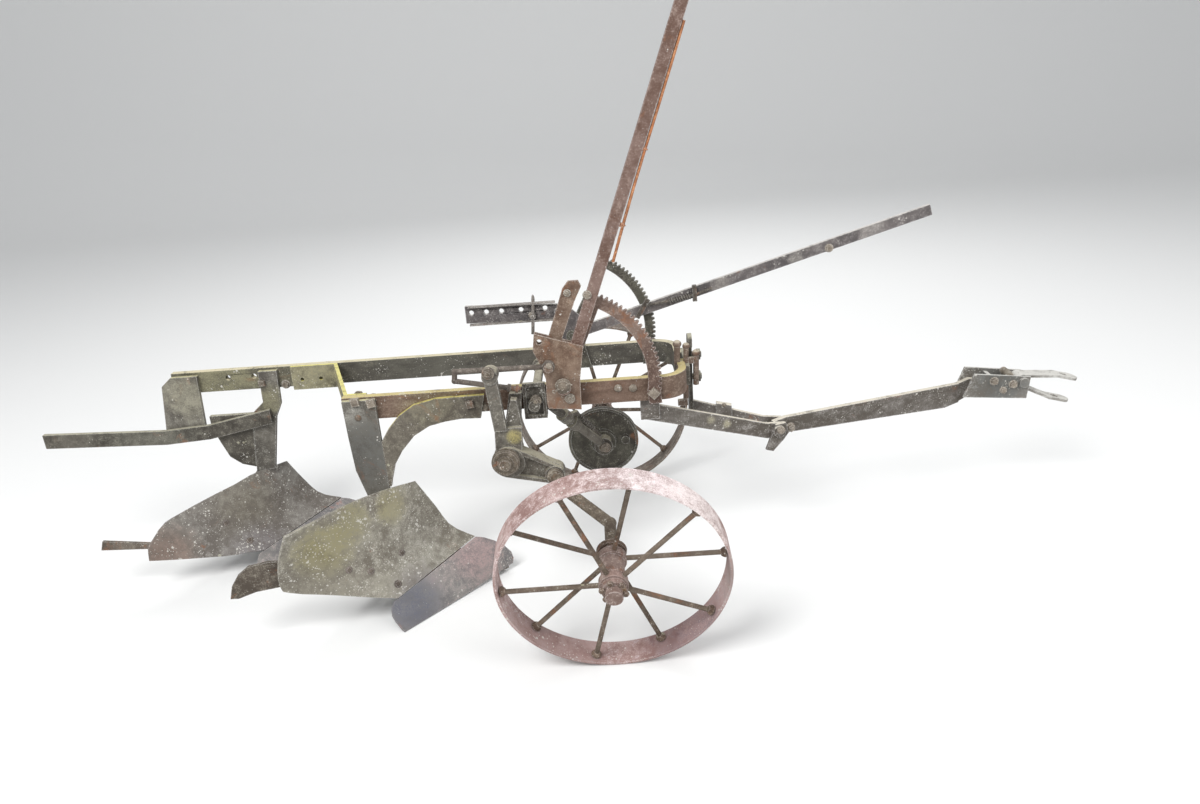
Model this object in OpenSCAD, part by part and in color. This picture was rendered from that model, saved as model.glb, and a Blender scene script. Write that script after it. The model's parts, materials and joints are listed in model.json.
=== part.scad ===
// Two-furrow trailed moldboard plough that turns its furrows to the right.
// X points along the travel, Y to the land side, Z up, and the ground is Z = 0.
// The drawing is laid out from the right beam and moved to the middle of the floor at the end.

/* [Shown] */
// sub-part to draw, or all of them

/* [Beams] */
// depth of both beams
beam_h = 75; // [60:1:100]
// thickness of both beams
beam_t = 25; // [16:1:32]
// height of the beams' upper edges
beam_top = 680; // [600:5:760]
// spacing of the two beams, which is the width of one furrow
furrow_w = 355; // [300:5:410]
// rear end of the right beam
near_back = -822; // [-900:1:-700]
// front end of both beams
near_front = 250; // [180:1:320]
// outer radius of the bends at the beams' front ends
bend_r = 85; // [50:1:120]
// rear end of the left beam
far_back = -1502; // [-1700:1:-1350]
// thickness of the cross member at the front
cross_t = 14; // [8:1:25]
// width of the flat bar that braces the beams
brace_w = 60; // [40:1:90]
// thickness of the brace bar
brace_t = 12; // [6:1:20]
// place along the right beam where the brace is bolted
brace_near_x = -862; // [-900:1:-700]

/* [Plough bodies] */
// distance of the second body behind the first
body_step = 540; // [450:5:650]
// share point of the front body, along the travel
tip_x = -350; // [-450:1:-250]
// plane of the front landside
land_y = 45; // [0:1:80]
// thickness of moldboards and shares
board_t = 8; // [5:0.5:12]
// height of the share point above the ground
tip_z = 12; // [0:1:40]
// reach of the share to the right
share_reach = 326; // [260:1:360]
// sweep of the cutting edge back from the point
share_sweep = 323; // [240:1:400]
// height of the shin where board and share meet
shin_low = 136; // [100:1:170]
// setback of that joint from the point
shin_back = 128; // [90:1:180]
// height of the top corner of the shin
shin_top = 355; // [280:1:400]
// length of the landside bar
landside_l = 430; // [300:5:600]
// height of the landside bar
landside_h = 95; // [60:1:140]
// thickness of the landside bar
landside_t = 14; // [8:1:25]
// thickness of legs and standards
leg_t = 16; // [10:1:25]

/* [Near wheel] */
// outer radius of the right wheel
near_r = 320; // [280:1:360]
// width of both rims
rim_w = 80; // [50:1:120]
// thickness of both rims
rim_t = 8; // [5:0.5:14]
// lean of the right wheel, its top outward
near_lean = 11; // [0:0.5:20]
// place of the right wheel along the travel
near_x = -20; // [-120:1:80]
// distance of the right wheel's middle from the right beam
near_y = 524; // [450:1:600]
// radius of both wheel hubs
hub_r = 40; // [30:1:60]
// length of both wheel hubs
hub_l = 150; // [100:1:200]
// radius of a spoke
spoke_r = 7; // [4:0.5:10]
// number of spokes in a wheel
spoke_n = 10; // [6:1:16]
// radius of the wheel axles
axle_r = 17; // [12:0.5:25]
// running clearance of shafts and pins on the radius
run_gap = 0.06; // [0.02:0.01:0.1]
// gap between a plate's back and what is fitted behind it
seat_gap = 0.3; // [0.1:0.1:1]

/* [Land wheel] */
// outer radius of the left wheel
land_r = 330; // [280:1:370]
// place of the left wheel along the travel
land_x = -28; // [-120:1:80]
// distance of the left wheel's middle from the right beam
land_wheel_y = 660; // [560:1:760]
// radius of the lift clutch disc
disc_r = 124; // [90:1:140]
// thickness of the lift clutch disc
disc_t = 18; // [10:1:30]

/* [Levers] */
// thickness of both quadrants
quad_t = 12; // [8:0.5:16]
// working clearance between sliding plates
side_gap = 5.5; // [5:0.5:10]
// pivot of the right lever along the travel
near_piv_x = -133; // [-200:1:-60]
// height of the right lever's pivot
near_piv_z = 684; // [640:1:740]
// outer radius of the right quadrant
near_quad_r = 300; // [240:1:340]
// angle of the right lever above the travel direction
near_lever_a = 69.5; // [40:0.5:90]
// length of the right lever
near_lever_l = 1250; // [1000:10:1500]
// radius of both lever pivots
pivot_r = 10; // [8:0.5:14]
// pivot of the left lever along the travel
far_piv_x = -109; // [-180:1:-40]
// height of the left lever's pivot
far_piv_z = 733; // [700:1:780]
// outer radius of the left quadrant
far_quad_r = 285; // [240:1:330]
// angle of the left lever above the travel direction
far_lever_a = 15.9; // [0:0.5:60]
// length of the left lever
far_lever_l = 1237; // [1000:1:1400]
// depth of both lever bars
lever_w = 36; // [25:1:50]
// thickness of both lever bars
lever_t = 14; // [8:1:20]
// thickness of the lever's side plates
side_t = 6; // [4:0.5:10]
// radius of the hairpin link's rod
link_r = 8; // [6:0.5:12]

/* [Wheel cranks] */
// pivot of the right wheel's bell crank along the travel
bell_x = -314; // [-360:1:-260]
// height of the bell crank's pivot
bell_z = 482; // [440:1:520]
// radius of the bell crank's hub
bell_r = 49; // [35:1:60]
// radius of the shaft that carries the bell crank
bell_pin_r = 22; // [14:0.5:28]
// height of the cross shaft between the beams
shaft_z = 622; // [600:1:660]
// place of the cross shaft along the travel
shaft_x = -229; // [-280:1:-180]
// radius of the cross shaft and the land wheel's crank
shaft_r = 15; // [10:0.5:22]

/* [Drawbar] */
// depth of the drawbar's two straps
strap_h = 58; // [40:1:75]
// thickness of the drawbar's two straps
strap_t = 12; // [8:0.5:20]
// bolt of straps and tongue along the travel
joint_x = 545; // [450:1:650]
// bolt of straps and tongue across the travel
joint_y = 107; // [50:1:180]
// height of that bolt
joint_z = 438; // [380:1:520]
// spacing of the two straps at that bolt
joint_w = 52; // [40:1:64]
// place across the travel where the left strap hangs from the cross member
clamp_y = 155; // [120:1:220]
// thickness of the tongue
tongue_t = 18; // [12:1:25]
// rear end of the hitch head along the travel
head_x = 1250; // [1100:1:1350]
// middle of the hitch head across the travel
head_y = 340; // [250:1:420]
// height of the hitch head's middle at its rear end
head_z = 452; // [400:1:520]
// length of the hitch head's plates
head_l = 212; // [180:2:300]
// height of the hitch head's plates
head_h = 86; // [60:1:110]
// space between the hitch head's plates
head_w = 56; // [45:1:80]
// droop of the hitch head
head_droop = 6; // [0:0.5:15]
// radius of the hitch pin's holes
hitch_r = 13; // [8:0.5:20]
// gap between the two pads of the hitch clevis
hitch_gap = 72; // [50:1:90]
// distance of the hitch pin's holes ahead of the clevis bolt
hitch_l = 145; // [100:1:180]
// droop of the hitch clevis
hitch_droop = 15; // [0:1:25]

/* [Tail] */
// rear end of the tail bar
tail_back = -1985; // [-2100:1:-1800]
// depth of the tail bar
tail_h = 52; // [35:1:70]

/* [Hidden] */
$fn = 48;
far_y = furrow_w;
beam_bot = beam_top - beam_h;
near_face = -beam_t / 2;
far_face = far_y - beam_t / 2;
near_z = near_r * cos(near_lean) + rim_w / 2 * sin(near_lean);
cap_l = 26;
hub_end = hub_l / 2 + cap_l;
y_low = -near_y - max(hub_end * cos(near_lean) + 24 * sin(near_lean),
    near_r * sin(near_lean) + rim_w / 2 * cos(near_lean));
y_high = land_wheel_y + hub_end;
clevis_s = head_l - 22;
clevis_x = head_x + clevis_s * cos(head_droop) + 20 * sin(head_droop);
clevis_z = head_z - clevis_s * sin(head_droop) + 20 * cos(head_droop);
x_high = clevis_x + (hitch_l + 52) * cos(hitch_droop) + (hitch_gap / 2 + 10) * sin(hitch_droop);
x_mid = (tail_back + x_high) / 2;
y_mid = (y_low + y_high) / 2;
quad_face = near_face - quad_t;
side_back = quad_face - side_gap;
bar_back = side_back - side_t;
bar_face = bar_back - lever_t;
side_face = bar_face - side_t;
link_y = side_face - side_gap - 12;
far_quad_face = far_face - quad_t;
far_bar_back = far_quad_face - side_gap;
far_bar_face = far_bar_back - lever_t;
far_link_y = far_bar_face - side_t - side_gap - 6;
pin_x = near_piv_x - 39;
pin_z = near_piv_z + 76;
far_pin_x = far_piv_x - 38;
far_pin_z = far_piv_z + 92;
knob_x = bell_x - 28;
knob_z = bell_z + 278;
arm_x = bell_x + 136;
arm_z = bell_z - 52;
arm_y = -150;

// a plate whose outline lies in X and Z, between two Y planes
module slab(outline, y0, y1) {
    translate([0, y1, 0])
        rotate([90, 0, 0])
            linear_extrude(y1 - y0)
                polygon(outline);
}

// a round bar between two points
module rod(a, b, r) {
    d = b - a;
    l = norm(d);
    translate(a)
        rotate([0, acos(d[2] / l), atan2(d[1], d[0])])
            cylinder(h = l, r = r);
}

// a round bar that bends at each point of a list
module bent_rod(list, r) {
    for (i = [0 : len(list) - 2])
        rod(list[i], list[i + 1], r);
    for (i = [1 : len(list) - 2])
        translate(list[i])
            sphere(r = 1.12 * r);
}

// a round disc or eye that lies across Y
module disc_y(x, z, r, y0, y1) {
    translate([x, y1, z])
        rotate([90, 0, 0])
            cylinder(h = y1 - y0, r = r);
}

module box(x0, x1, y0, y1, z0, z1) {
    translate([x0, y0, z0])
        cube([x1 - x0, y1 - y0, z1 - z0]);
}

// a flat bar on edge between two points, square at both ends
module edge_bar(a, b, h, t) {
    d = b - a;
    l = norm([d[0], d[1]]);
    turn = atan2(d[1], d[0]);
    translate(a)
        rotate([0, 0, turn])
            rotate([0, -atan2(d[2], l), 0])
                translate([0, -t / 2, -h / 2])
                    cube([norm(d), t, h]);
}

module near_beam() {
    color([0.45, 0.35, 0.25])
        union() {
            box(near_back, near_front - bend_r, near_face, -near_face, beam_bot, beam_top);
            translate([near_front - bend_r, near_face + bend_r, beam_bot])
                rotate([0, 0, -90])
                    beam_bend();
            box(near_front - beam_t, near_front, near_face + bend_r, furrow_w / 2 - 30, beam_bot, beam_top);
        }
}

// a quarter turn of a beam's section
module beam_bend() {
    rotate_extrude(angle = 90)
        translate([bend_r - beam_t, 0])
            square([beam_t, beam_h]);
}

module far_beam() {
    y1 = far_y + beam_t / 2;
    color([0.42, 0.38, 0.26])
        difference() {
            union() {
                box(far_back, near_front - bend_r, far_face, y1, beam_bot, beam_top);
                translate([near_front - bend_r, y1 - bend_r, beam_bot])
                    beam_bend();
                box(near_front - beam_t, near_front, furrow_w / 2 + 30, y1 - bend_r, beam_bot, beam_top);
            }
            for (x = [-1308, -1218])
                disc_y(x, 652, 9, far_face - 1, y1 + 1);
        }
}

module beam_brace() {
    // one bent flat bar: along the left beam's face, slanting across, and along the end of the right beam
    x0 = -1085;
    x1 = near_back - 108;
    a = [x1, far_face - 2];
    b = [near_back + 8, 2 - near_face];
    l = norm(b - a);
    color([0.5, 0.45, 0.25])
        difference() {
            union() {
                box(x0, x1, far_face - brace_t, far_face, 596, beam_top);
                upright_bar(a, b, [[0, 596], [0, beam_top], [l, beam_top], [l, beam_bot], [l - 60, 596]], brace_t);
                box(near_back + 4, near_back + 72, -near_face, brace_t - near_face, beam_bot, beam_top);
            }
            for (x = [-1050, -985])
                disc_y(x, 632, 7, far_face - 40, far_face + 1);
        }
}

module front_cross() {
    // plate that ties the bent ends of both beams
    color([0.45, 0.35, 0.28])
        box(near_front, near_front + cross_t, furrow_w / 2 - 92, furrow_w / 2 + 92, beam_bot + 5, beam_top - 5);
}

module drawbar_clamp() {
    // upright plate bolted to the cross member, from which the left strap hangs
    x0 = near_front + cross_t;
    color([0.46, 0.42, 0.36])
        union() {
            box(x0, x0 + 12, clamp_y - 24, clamp_y + 24, joint_z + 34, beam_top + 56);
            disc_x(x0, x0 + 14, clamp_y, beam_top + 56, 24);
            for (z = [beam_bot + 8, beam_top + 8]) {
                disc_x(x0, x0 + 44, clamp_y, z, 10);
                disc_x(x0 + 28, x0 + 40, clamp_y, z, 18);
            }
        }
}

// a round disc that lies across X
module disc_x(x0, x1, y, z, r) {
    translate([x0, y, z])
        rotate([0, 90, 0])
            cylinder(h = x1 - x0, r = r);
}

module front_leg() {
    color([0.42, 0.34, 0.24])
        difference() {
            slab([[-819, beam_top - 6], [-817, 560], [-812, 440], [-790, 352], [-780, 290], [-716, 290],
                [-716, beam_top - 6]], near_face - leg_t, near_face);
            ahead(0);
        }
}

module front_standard() {
    color([0.5, 0.44, 0.2])
        slab([[-380, 666], [-531, 664], [-600, 648], [-650, 616], [-690, 572], [-716, 533], [-716, 470],
            [-716, 376], [-708, 376], [-702, 400], [-686, 450], [-655, 498], [-612, 545], [-560, 575],
            [-510, 586], [-459, 592], [-398, 590]], near_face - leg_t, near_face);
}

// point of a smooth curve through a list of points, with t from 0 to 1
function along(list, t) =
    let (n = len(list) - 1, i = min(floor(t * n + 0.0001), n - 1), f = t * n - i,
         a = list[max(i - 1, 0)], b = list[i], c = list[i + 1], d = list[min(i + 2, n)])
    0.5 * (2 * b + (c - a) * f + (2 * a - 5 * b + 4 * c - d) * f * f + (3 * b - a - 3 * c + d) * f * f * f);

// share of a board's lower edge that runs along the seam with its share
seam_part = 0.4;

// lower edge of a patch: straight along the seam, then a curve
function low_edge(b, u) =
    u < seam_part ? b[0][0] + u / seam_part * (b[0][1] - b[0][0])
        : along([for (i = [1 : len(b[0]) - 1]) b[0][i]], (u - seam_part) / (1 - seam_part));

// point of a patch between four edges: lower, upper, front and rear
function patch(b, u, v) =
    let (lo = low_edge(b, u), hi = along(b[1], u), fr = along(b[2], v), re = along(b[3], v),
         p = low_edge(b, 0), q = low_edge(b, 1), r = along(b[1], 1), t = along(b[1], 0),
         flat = (1 - u) * (1 - v) * p + u * (1 - v) * q + u * v * r + (1 - u) * v * t)
    (1 - v) * lo + v * hi + (1 - u) * fr + u * re - flat;

function unit(a) = a / norm(a);

function patch_normal(b, u, v) =
    let (e = 0.02, u0 = max(u - e, 0), u1 = min(u + e, 1), v0 = max(v - e, 0), v1 = min(v + e, 1))
    unit(cross(patch(b, u1, v) - patch(b, u0, v), patch(b, u, v1) - patch(b, u, v0)));

// faces of a closed shell between two grids of nu by nv cells
function shell_faces(nu, nv) =
    let (m = nv + 1, n = (nu + 1) * m,
         cells = [for (i = [0 : nu - 1], j = [0 : nv - 1]) i * m + j],
         edge = concat([for (i = [0 : nu - 1]) i * m], [for (j = [0 : nv - 1]) nu * m + j],
             [for (i = [nu : -1 : 1]) i * m + nv], [for (j = [nv : -1 : 1]) j]),
         k = len(edge))
    concat([for (c = cells) [c, c + m + 1, c + 1]],
        [for (c = cells) [c, c + m, c + m + 1]],
        [for (c = cells) [n + c, n + c + 1, n + c + m + 1]],
        [for (c = cells) [n + c, n + c + m + 1, n + c + m]],
        [for (i = [0 : k - 1]) [edge[i], n + edge[(i + 1) % k], edge[(i + 1) % k]]],
        [for (i = [0 : k - 1]) [edge[i], n + edge[i], n + edge[(i + 1) % k]]]);

// points of a patch moved off it along its own normals
function patch_grid(b, nu, nv, off) =
    [for (i = [0 : nu], j = [0 : nv])
        patch(b, i / nu, j / nv) + off * patch_normal(b, i / nu, j / nv)];

// a curved plate of a board or share
module curved_plate(b, nu, nv) {
    polyhedron(points = concat(patch_grid(b, nu, nv, 0), patch_grid(b, nu, nv, board_t)),
        faces = shell_faces(nu, nv), convexity = 6);
}

// the space that the back of a plate sweeps when it is moved ahead
module swept_ahead(b, nu, nv, move) {
    back = patch_grid(b, nu, nv, board_t + seat_gap);
    polyhedron(points = concat([for (p = back) p + move], back),
        faces = shell_faces(nu, nv), convexity = 6);
    polyhedron(points = concat(patch_grid(b, nu, nv, -1), back),
        faces = shell_faces(nu, nv), convexity = 6);
}

// places a body's piece at the front or rear share point
module at_body(k) {
    translate([tip_x - k * body_step, land_y + k * furrow_w, 0])
        children();
}

// edges of the boards from the share point: lower, upper, front and rear
seam_top = [-shin_back, 0, shin_low];
wing = [-348, -250, 75];
front_board = [
    [seam_top, wing, [-400, -265, 90], [-455, -280, 108], [-537, -305, 138], [-616, -330, 164], [-659, -345, 185]],
    [[-299, 0, shin_top], [-361, -85, shin_top + 22], [-431, -170, 390], [-490, -250, 395], [-548, -315, 390],
        [-605, -375, 384]],
    [seam_top, [-203, 0, 183], [-246, 0, 262], [-299, 0, shin_top]],
    [[-659, -345, 185], [-661, -355, 225], [-642, -368, 300], [-605, -375, 384]]];
rear_board = [
    [seam_top, wing, [-400, -265, 80], [-453, -285, 82], [-573, -320, 100], [-650, -340, 112], [-697, -348, 118]],
    [[-294, -15, shin_top - 51], [-382, -100, shin_top - 51], [-440, -146, shin_top - 67], [-510, -200, 272],
        [-592, -270, 251], [-643, -310, 228], [-685, -348, 168]],
    [seam_top, [-203, 0, 160], [-250, -6, 224], [-294, -15, shin_top - 51]],
    [[-697, -348, 118], [-692, -350, 143], [-685, -348, 168]]];
boards = [front_board, rear_board];

// a share, from its cutting edge up to the seam
share_top = seam_top + [2, -1, -2];
share_wing = [-share_sweep, -share_reach, 1];
share_patch = [
    [[-12, 0, tip_z + 10], [-140, -128, 6], share_wing],
    [share_top, [-240, -131, 103], [-357, -262, 71]],
    [[-12, 0, tip_z + 10], [-8, 0, 55], [-32, 0, 90], [-82, 0, 123], share_top],
    [share_wing, [-364, -290, 40], [-357, -262, 71]]];

module moldboard(k) {
    color([0.4, 0.36, 0.28])
        at_body(k)
            curved_plate(boards[k], 15, 8);
}

module share(k) {
    color([0.5, 0.4, 0.38])
        at_body(k)
            curved_plate(share_patch, 10, 6);
}

// all that lies in front of the back of a board and its share
module ahead(k) {
    at_body(k)
        union() {
            swept_ahead(boards[k], 15, 8, [220, -260, 20]);
            swept_ahead(share_patch, 10, 6, [120, -120, 160]);
        }
}

module landside(k) {
    color([0.4, 0.33, 0.28])
        difference() {
            at_body(k)
                slab([[-26, tip_z], [-60, 0], [-landside_l, 0], [-landside_l, landside_h], [-190, landside_h],
                    [-110, 80]], -landside_t, 0);
            ahead(k);
        }
}

// head of each frog, where the leg is bolted to it: rear, front, low and high
frog_foot = [[-428, -352, 240, 330], [-400, -322, 215, 285]];

module frog(k) {
    f = frog_foot[k];
    color([0.36, 0.31, 0.26])
        difference() {
            at_body(k)
                slab(concat([[-landside_l + 40, 22], [-192, 22], [-192, 118]],
                    [for (p = boards[k][2]) if (p[2] > 140 && p[2] < f[3]) [p[0] - 26, p[2]]],
                    [[f[1] + 20, f[3]], [f[0], f[3]], [f[0], f[2]], [-landside_l + 30, 120]]),
                    near_face - land_y, -landside_t);
            ahead(k);
        }
}

module tail_strip(k, outline, turn) {
    color([0.42, 0.36, 0.3])
        difference() {
            at_body(k)
                translate([-600, -318, 0])
                    rotate([0, 0, turn])
                        slab(outline, -5, 5);
            ahead(k);
        }
}

// outlines of the tailpieces behind the moldboards
front_tail = [[10, 200], [10, 275], [-90, 282], [-150, 274], [-185, 248], [-208, 215], [-221, 172], [-196, 170],
    [-142, 186], [-80, 192]];
rear_tail = [[-30, 125], [-40, 165], [-250, 190], [-262, 156], [-100, 150]];

module board_strut(k) {
    color([0.36, 0.31, 0.26])
        difference() {
            at_body(k)
                union() {
                    rod([18 - landside_l, -landside_t - 12, 60], [-160 - landside_l, -345, 200 - 50 * k], 10);
                    disc_y(18 - landside_l, 60, 16, -landside_t - 22, -landside_t);
                }
            ahead(k);
        }
}

module rear_leg() {
    color([0.4, 0.3, 0.22])
        difference() {
            slab([[-1196, beam_top - 8], [-1132, beam_top - 8], [-1140, 549], [-1166, 500], [-1209, 300],
                [-1215, 236], [-1283, 236], [-1275, 300], [-1246, 520], [-1200, 560]], far_face - leg_t, far_face);
            ahead(1);
        }
}

module rear_standard() {
    color([0.35, 0.3, 0.24])
        slab([[-1398, 520], [-1398, 480], [-1380, 421], [-1358, 361], [-1320, 330], [-1273, 316],
            [-1246, 520]], far_face - leg_t, far_face);
}

module tail_plate() {
    color([0.45, 0.4, 0.25])
        slab([[-1500, beam_top - 10], [-1536, 640], [-1560, 470], [-1420, 470], [-1408, beam_top - 10]],
            far_face - leg_t, far_face);
}

module tail_bar() {
    color([0.42, 0.38, 0.26])
        slab([[tail_back, 445], [tail_back, 445 + tail_h], [-1560, 430 + tail_h], [-1404, 440 + tail_h],
            [-1178, 484 + tail_h], [-1178, 484], [-1404, 440], [-1560, 430]],
            far_face - leg_t - 16, far_face - leg_t);
}

function polar(r, a) = [r * cos(a), r * sin(a)];

// an arc-shaped toothed band in X and Z around the origin
module toothed_band(r_in, r_out, a0, a1, tooth) {
    steps = floor((a1 - a0) / tooth);
    depth = 9;
    polygon(concat(
        [for (i = [0 : steps - 1], k = [0 : 3])
            polar(k == 1 || k == 2 ? r_out : r_out - depth, a0 + (i + k / 4 + 0.12) * tooth)],
        [for (i = [24 : -1 : 0]) polar(r_in, a0 + (a1 - a0) * i / 24)]));
}

module near_quadrant() {
    low = beam_bot - 6 - near_piv_z;
    color([0.42, 0.28, 0.2])
        union() {
            translate([near_piv_x, near_face, near_piv_z])
                rotate([90, 0, 0])
                    linear_extrude(quad_t)
                        union() {
                            toothed_band(near_quad_r - 42, near_quad_r, -12, 70, 3.2);
                            rotate(66)
                                translate([0, -17])
                                    square([near_quad_r - 24, 34]);
                            circle(r = 30);
                            polygon([[254, -40], [294, -40], [298, low], [258, low]]);
                        }
            disc_y(near_piv_x, near_piv_z, pivot_r, side_face - 12, quad_face + 1);
            disc_y(near_piv_x, near_piv_z, 22, side_face - 11, side_face - 1);
        }
}

module far_quadrant() {
    low = beam_bot - far_piv_z;
    color([0.4, 0.36, 0.26])
        union() {
            translate([far_piv_x, far_face, far_piv_z])
                rotate([90, 0, 0])
                    linear_extrude(quad_t)
                        union() {
                            toothed_band(far_quad_r - 36, far_quad_r, -8, 66, 3.2);
                            rotate(62)
                                translate([0, -15])
                                    square([far_quad_r - 20, 30]);
                            circle(r = 30);
                            polygon([[-60, low], [-28, 10], [28, 10], [60, low]]);
                            polygon([[236, -20], [270, -20], [270, low], [236, low]]);
                        }
            disc_y(far_piv_x, far_piv_z, pivot_r, far_bar_face - side_t - 12, far_quad_face + 1);
            disc_y(far_piv_x, far_piv_z, 20, far_bar_face - side_t - 11, far_bar_face - side_t - 1);
        }
}

module crank_bracket() {
    color([0.38, 0.32, 0.26])
        union() {
            difference() {
                box(-262, -192, near_face - 12, near_face, 575, 692);
                box(-252, -202, near_face - 13, near_face - 4, 587, 680);
            }
            box(-262, -192, near_face - 1, -near_face, 575, beam_bot);
            disc_y(shaft_x, shaft_z, 18, near_face - 30, near_face - 1);
        }
}

module crank_hanger() {
    color([0.36, 0.33, 0.28])
        union() {
            slab([[-302, 668], [bell_x - 30, bell_z], [bell_x + 30, bell_z], [-264, 668]], near_face - 26, near_face);
            disc_y(bell_x, bell_z, 38, -82, near_face);
            disc_y(bell_x, bell_z, bell_pin_r, -146, -82);
            disc_y(bell_x, bell_z, 26, -152, -137);
        }
}

module bell_crank() {
    // rear arm with the knob, wedge, neck, hub and the ribbed arm to the axle
    color([0.4, 0.36, 0.26])
        difference() {
            union() {
                disc_y(bell_x, bell_z, bell_r, -136, -84);
                slab([[bell_x - 38, bell_z + 18], [bell_x - 33, bell_z + 110], [bell_x + 48, bell_z + 110],
                    [bell_x + 44, bell_z + 40], [bell_x + 30, bell_z + 18]], -126, -92);
                slab([[bell_x - 33, bell_z + 104], [knob_x - 20, knob_z], [knob_x + 18, knob_z],
                    [bell_x + 4, bell_z + 104]], -134, -108);
                disc_y(knob_x, knob_z, 24, -138, -92);
                slab([[bell_x - 4, bell_z + 100], [bell_x + 22, bell_z + 194], [bell_x + 40, bell_z + 192],
                    [bell_x + 50, bell_z + 100]], -112, -84);
                slab([[bell_x + 10, bell_z + 46], [arm_x + 20, arm_z + 26], [arm_x + 20, arm_z - 26],
                    [bell_x - 10, bell_z - 46]], -120, -100);
                for (s = [1, -1])
                    slab([[bell_x + s * 16, bell_z + s * 48], [arm_x + s * 10, arm_z + s * 28],
                        [arm_x + s * 6, arm_z + s * 18], [bell_x + s * 12, bell_z + s * 36]], -134, -86);
                disc_y(arm_x, arm_z, 30, -136, -84);
            }
            disc_y(bell_x, bell_z, bell_pin_r + run_gap, -140, -80);
        }
}

function lean_dir() = [0, -cos(near_lean), -sin(near_lean)];

function near_at(s) = [near_x, -near_y, near_z] + s * lean_dir();

module near_axle() {
    color([0.42, 0.34, 0.26])
        difference() {
            union() {
                bent_rod([[arm_x, -137, arm_z], [arm_x + 16, -190, arm_z - 10], near_at(-200), near_at(hub_l / 2 + 10)], axle_r);
                translate(near_at(-hub_l / 2 - 20))
                    rotate([90 + near_lean, 0, 0])
                        cylinder(h = 17, r = 28);
                disc_y(arm_x, arm_z, 24, -150, -136);
            }
        }
}

module cross_shaft() {
    color([0.38, 0.34, 0.28])
        union() {
            disc_y(shaft_x, shaft_z, shaft_r, -near_face, far_face);
            disc_y(shaft_x, shaft_z, 26, -near_face, 24);
            disc_y(shaft_x, shaft_z, 26, far_face - 12, far_face);
        }
}

module land_crank() {
    a = [shaft_x, 60, shaft_z];
    b = [land_x, 285, land_r];
    trip = [a + 0.4 * (b - a), [-112, 172, 505], [-86, 238, 440], [-40, 290, 362]];
    color([0.4, 0.34, 0.26])
        difference() {
            union() {
                disc_y(shaft_x, shaft_z, 30, 44, 78);
                rod(a, b, shaft_r);
                disc_y(land_x, land_r, 32, 268, 302);
                for (s = [0.36, 0.5])
                    rod(a + s * (b - a), a + (s + 0.08) * (b - a), 23);
                bent_rod(trip, 9);
            }
            disc_y(shaft_x, shaft_z, shaft_r, 0, 100);
            disc_y(land_x, land_r, axle_r, 250, 320);
        }
}

module clutch_disc() {
    color([0.4, 0.38, 0.3])
        difference() {
            union() {
                disc_y(land_x, land_r, disc_r, 318, 322 + disc_t);
                disc_y(land_x, land_r, 44, 303, 360);
                disc_y(land_x + 78, land_r + 4, 15, 304, 322);
            }
            difference() {
                disc_y(land_x, land_r, disc_r - 9, 300, 323);
                disc_y(land_x, land_r, 44, 299, 324);
                disc_y(land_x + 78, land_r + 4, 15, 299, 324);
            }
            disc_y(land_x, land_r, axle_r, 250, 400);
        }
}

module land_axle() {
    color([0.38, 0.33, 0.28])
        union() {
            disc_y(land_x, land_r, axle_r, 262, land_wheel_y + hub_l / 2 + 10);
            disc_y(land_x, land_r, 28, land_wheel_y - hub_l / 2 - 18, land_wheel_y - hub_l / 2 - 1);
        }
}

// an upright flat bar between two plan points, with its side view as s and z
module upright_bar(a, b, outline, t) {
    d = b - a;
    translate([a[0], a[1], 0])
        rotate([0, 0, atan2(d[1], d[0])])
            slab(outline, -t / 2, t / 2);
}

// side view of a strap: sloping down to the joint and level past its bolt
function strap_side(l, z0) =
    [[0, z0 - strap_h / 2], [0, z0 + strap_h / 2], [l - 40, joint_z + 26], [l + 20, joint_z + 22],
        [l + 20, joint_z - 22], [l - 40, joint_z - 26]];

module joint_bore(r) {
    disc_y(joint_x, joint_z, r, joint_y - 60, joint_y + 60);
}

module near_strap() {
    a = [112, 1 - near_face + strap_t / 2];
    b = [joint_x, joint_y - joint_w / 2];
    color([0.44, 0.4, 0.34])
        difference() {
            union() {
                upright_bar(a, b, strap_side(norm(b - a), 560), strap_t);
                box(98, 158, -near_face, strap_t - near_face, 531, 662);
            }
            joint_bore(pivot_r + run_gap);
        }
}

module far_strap() {
    a = [near_front + cross_t + 13, clamp_y + 4];
    b = [joint_x, joint_y + joint_w / 2];
    color([0.44, 0.4, 0.34])
        difference() {
            union() {
                upright_bar(a, b, strap_side(norm(b - a), 500), strap_t);
                translate([a[0] + 76, a[1] - 8, 0])
                    rotate([0, 0, atan2(b[1] - a[1], b[0] - a[0])])
                        slab([[0, 470], [0, 518], [50, 508], [50, 460]], -11, 12);
            }
            joint_bore(pivot_r + run_gap);
        }
}

module strap_joint() {
    // bolt through both straps and the tongue, with the hook plate on its near end
    a = [112, 1 - near_face + strap_t / 2];
    b = [joint_x, joint_y - joint_w / 2];
    w = joint_w / 2 + strap_t / 2;
    color([0.42, 0.38, 0.34])
        union() {
            disc_y(joint_x, joint_z, pivot_r, joint_y - w - 24, joint_y + w + 18);
            translate([b[0], b[1], joint_z])
                rotate([0, 0, atan2(b[1] - a[1], b[0] - a[0])])
                    slab([[-46, -62], [-30, -20], [-14, 22], [20, 26], [30, -10], [12, -34], [-22, -70]],
                        -strap_t / 2 - seat_gap - 10, -strap_t / 2 - seat_gap);
            disc_y(joint_x, joint_z, 19, joint_y - w - 21, joint_y - w - 10);
            disc_y(joint_x, joint_z, 18, joint_y + w + 3, joint_y + w + 14);
        }
}

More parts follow.
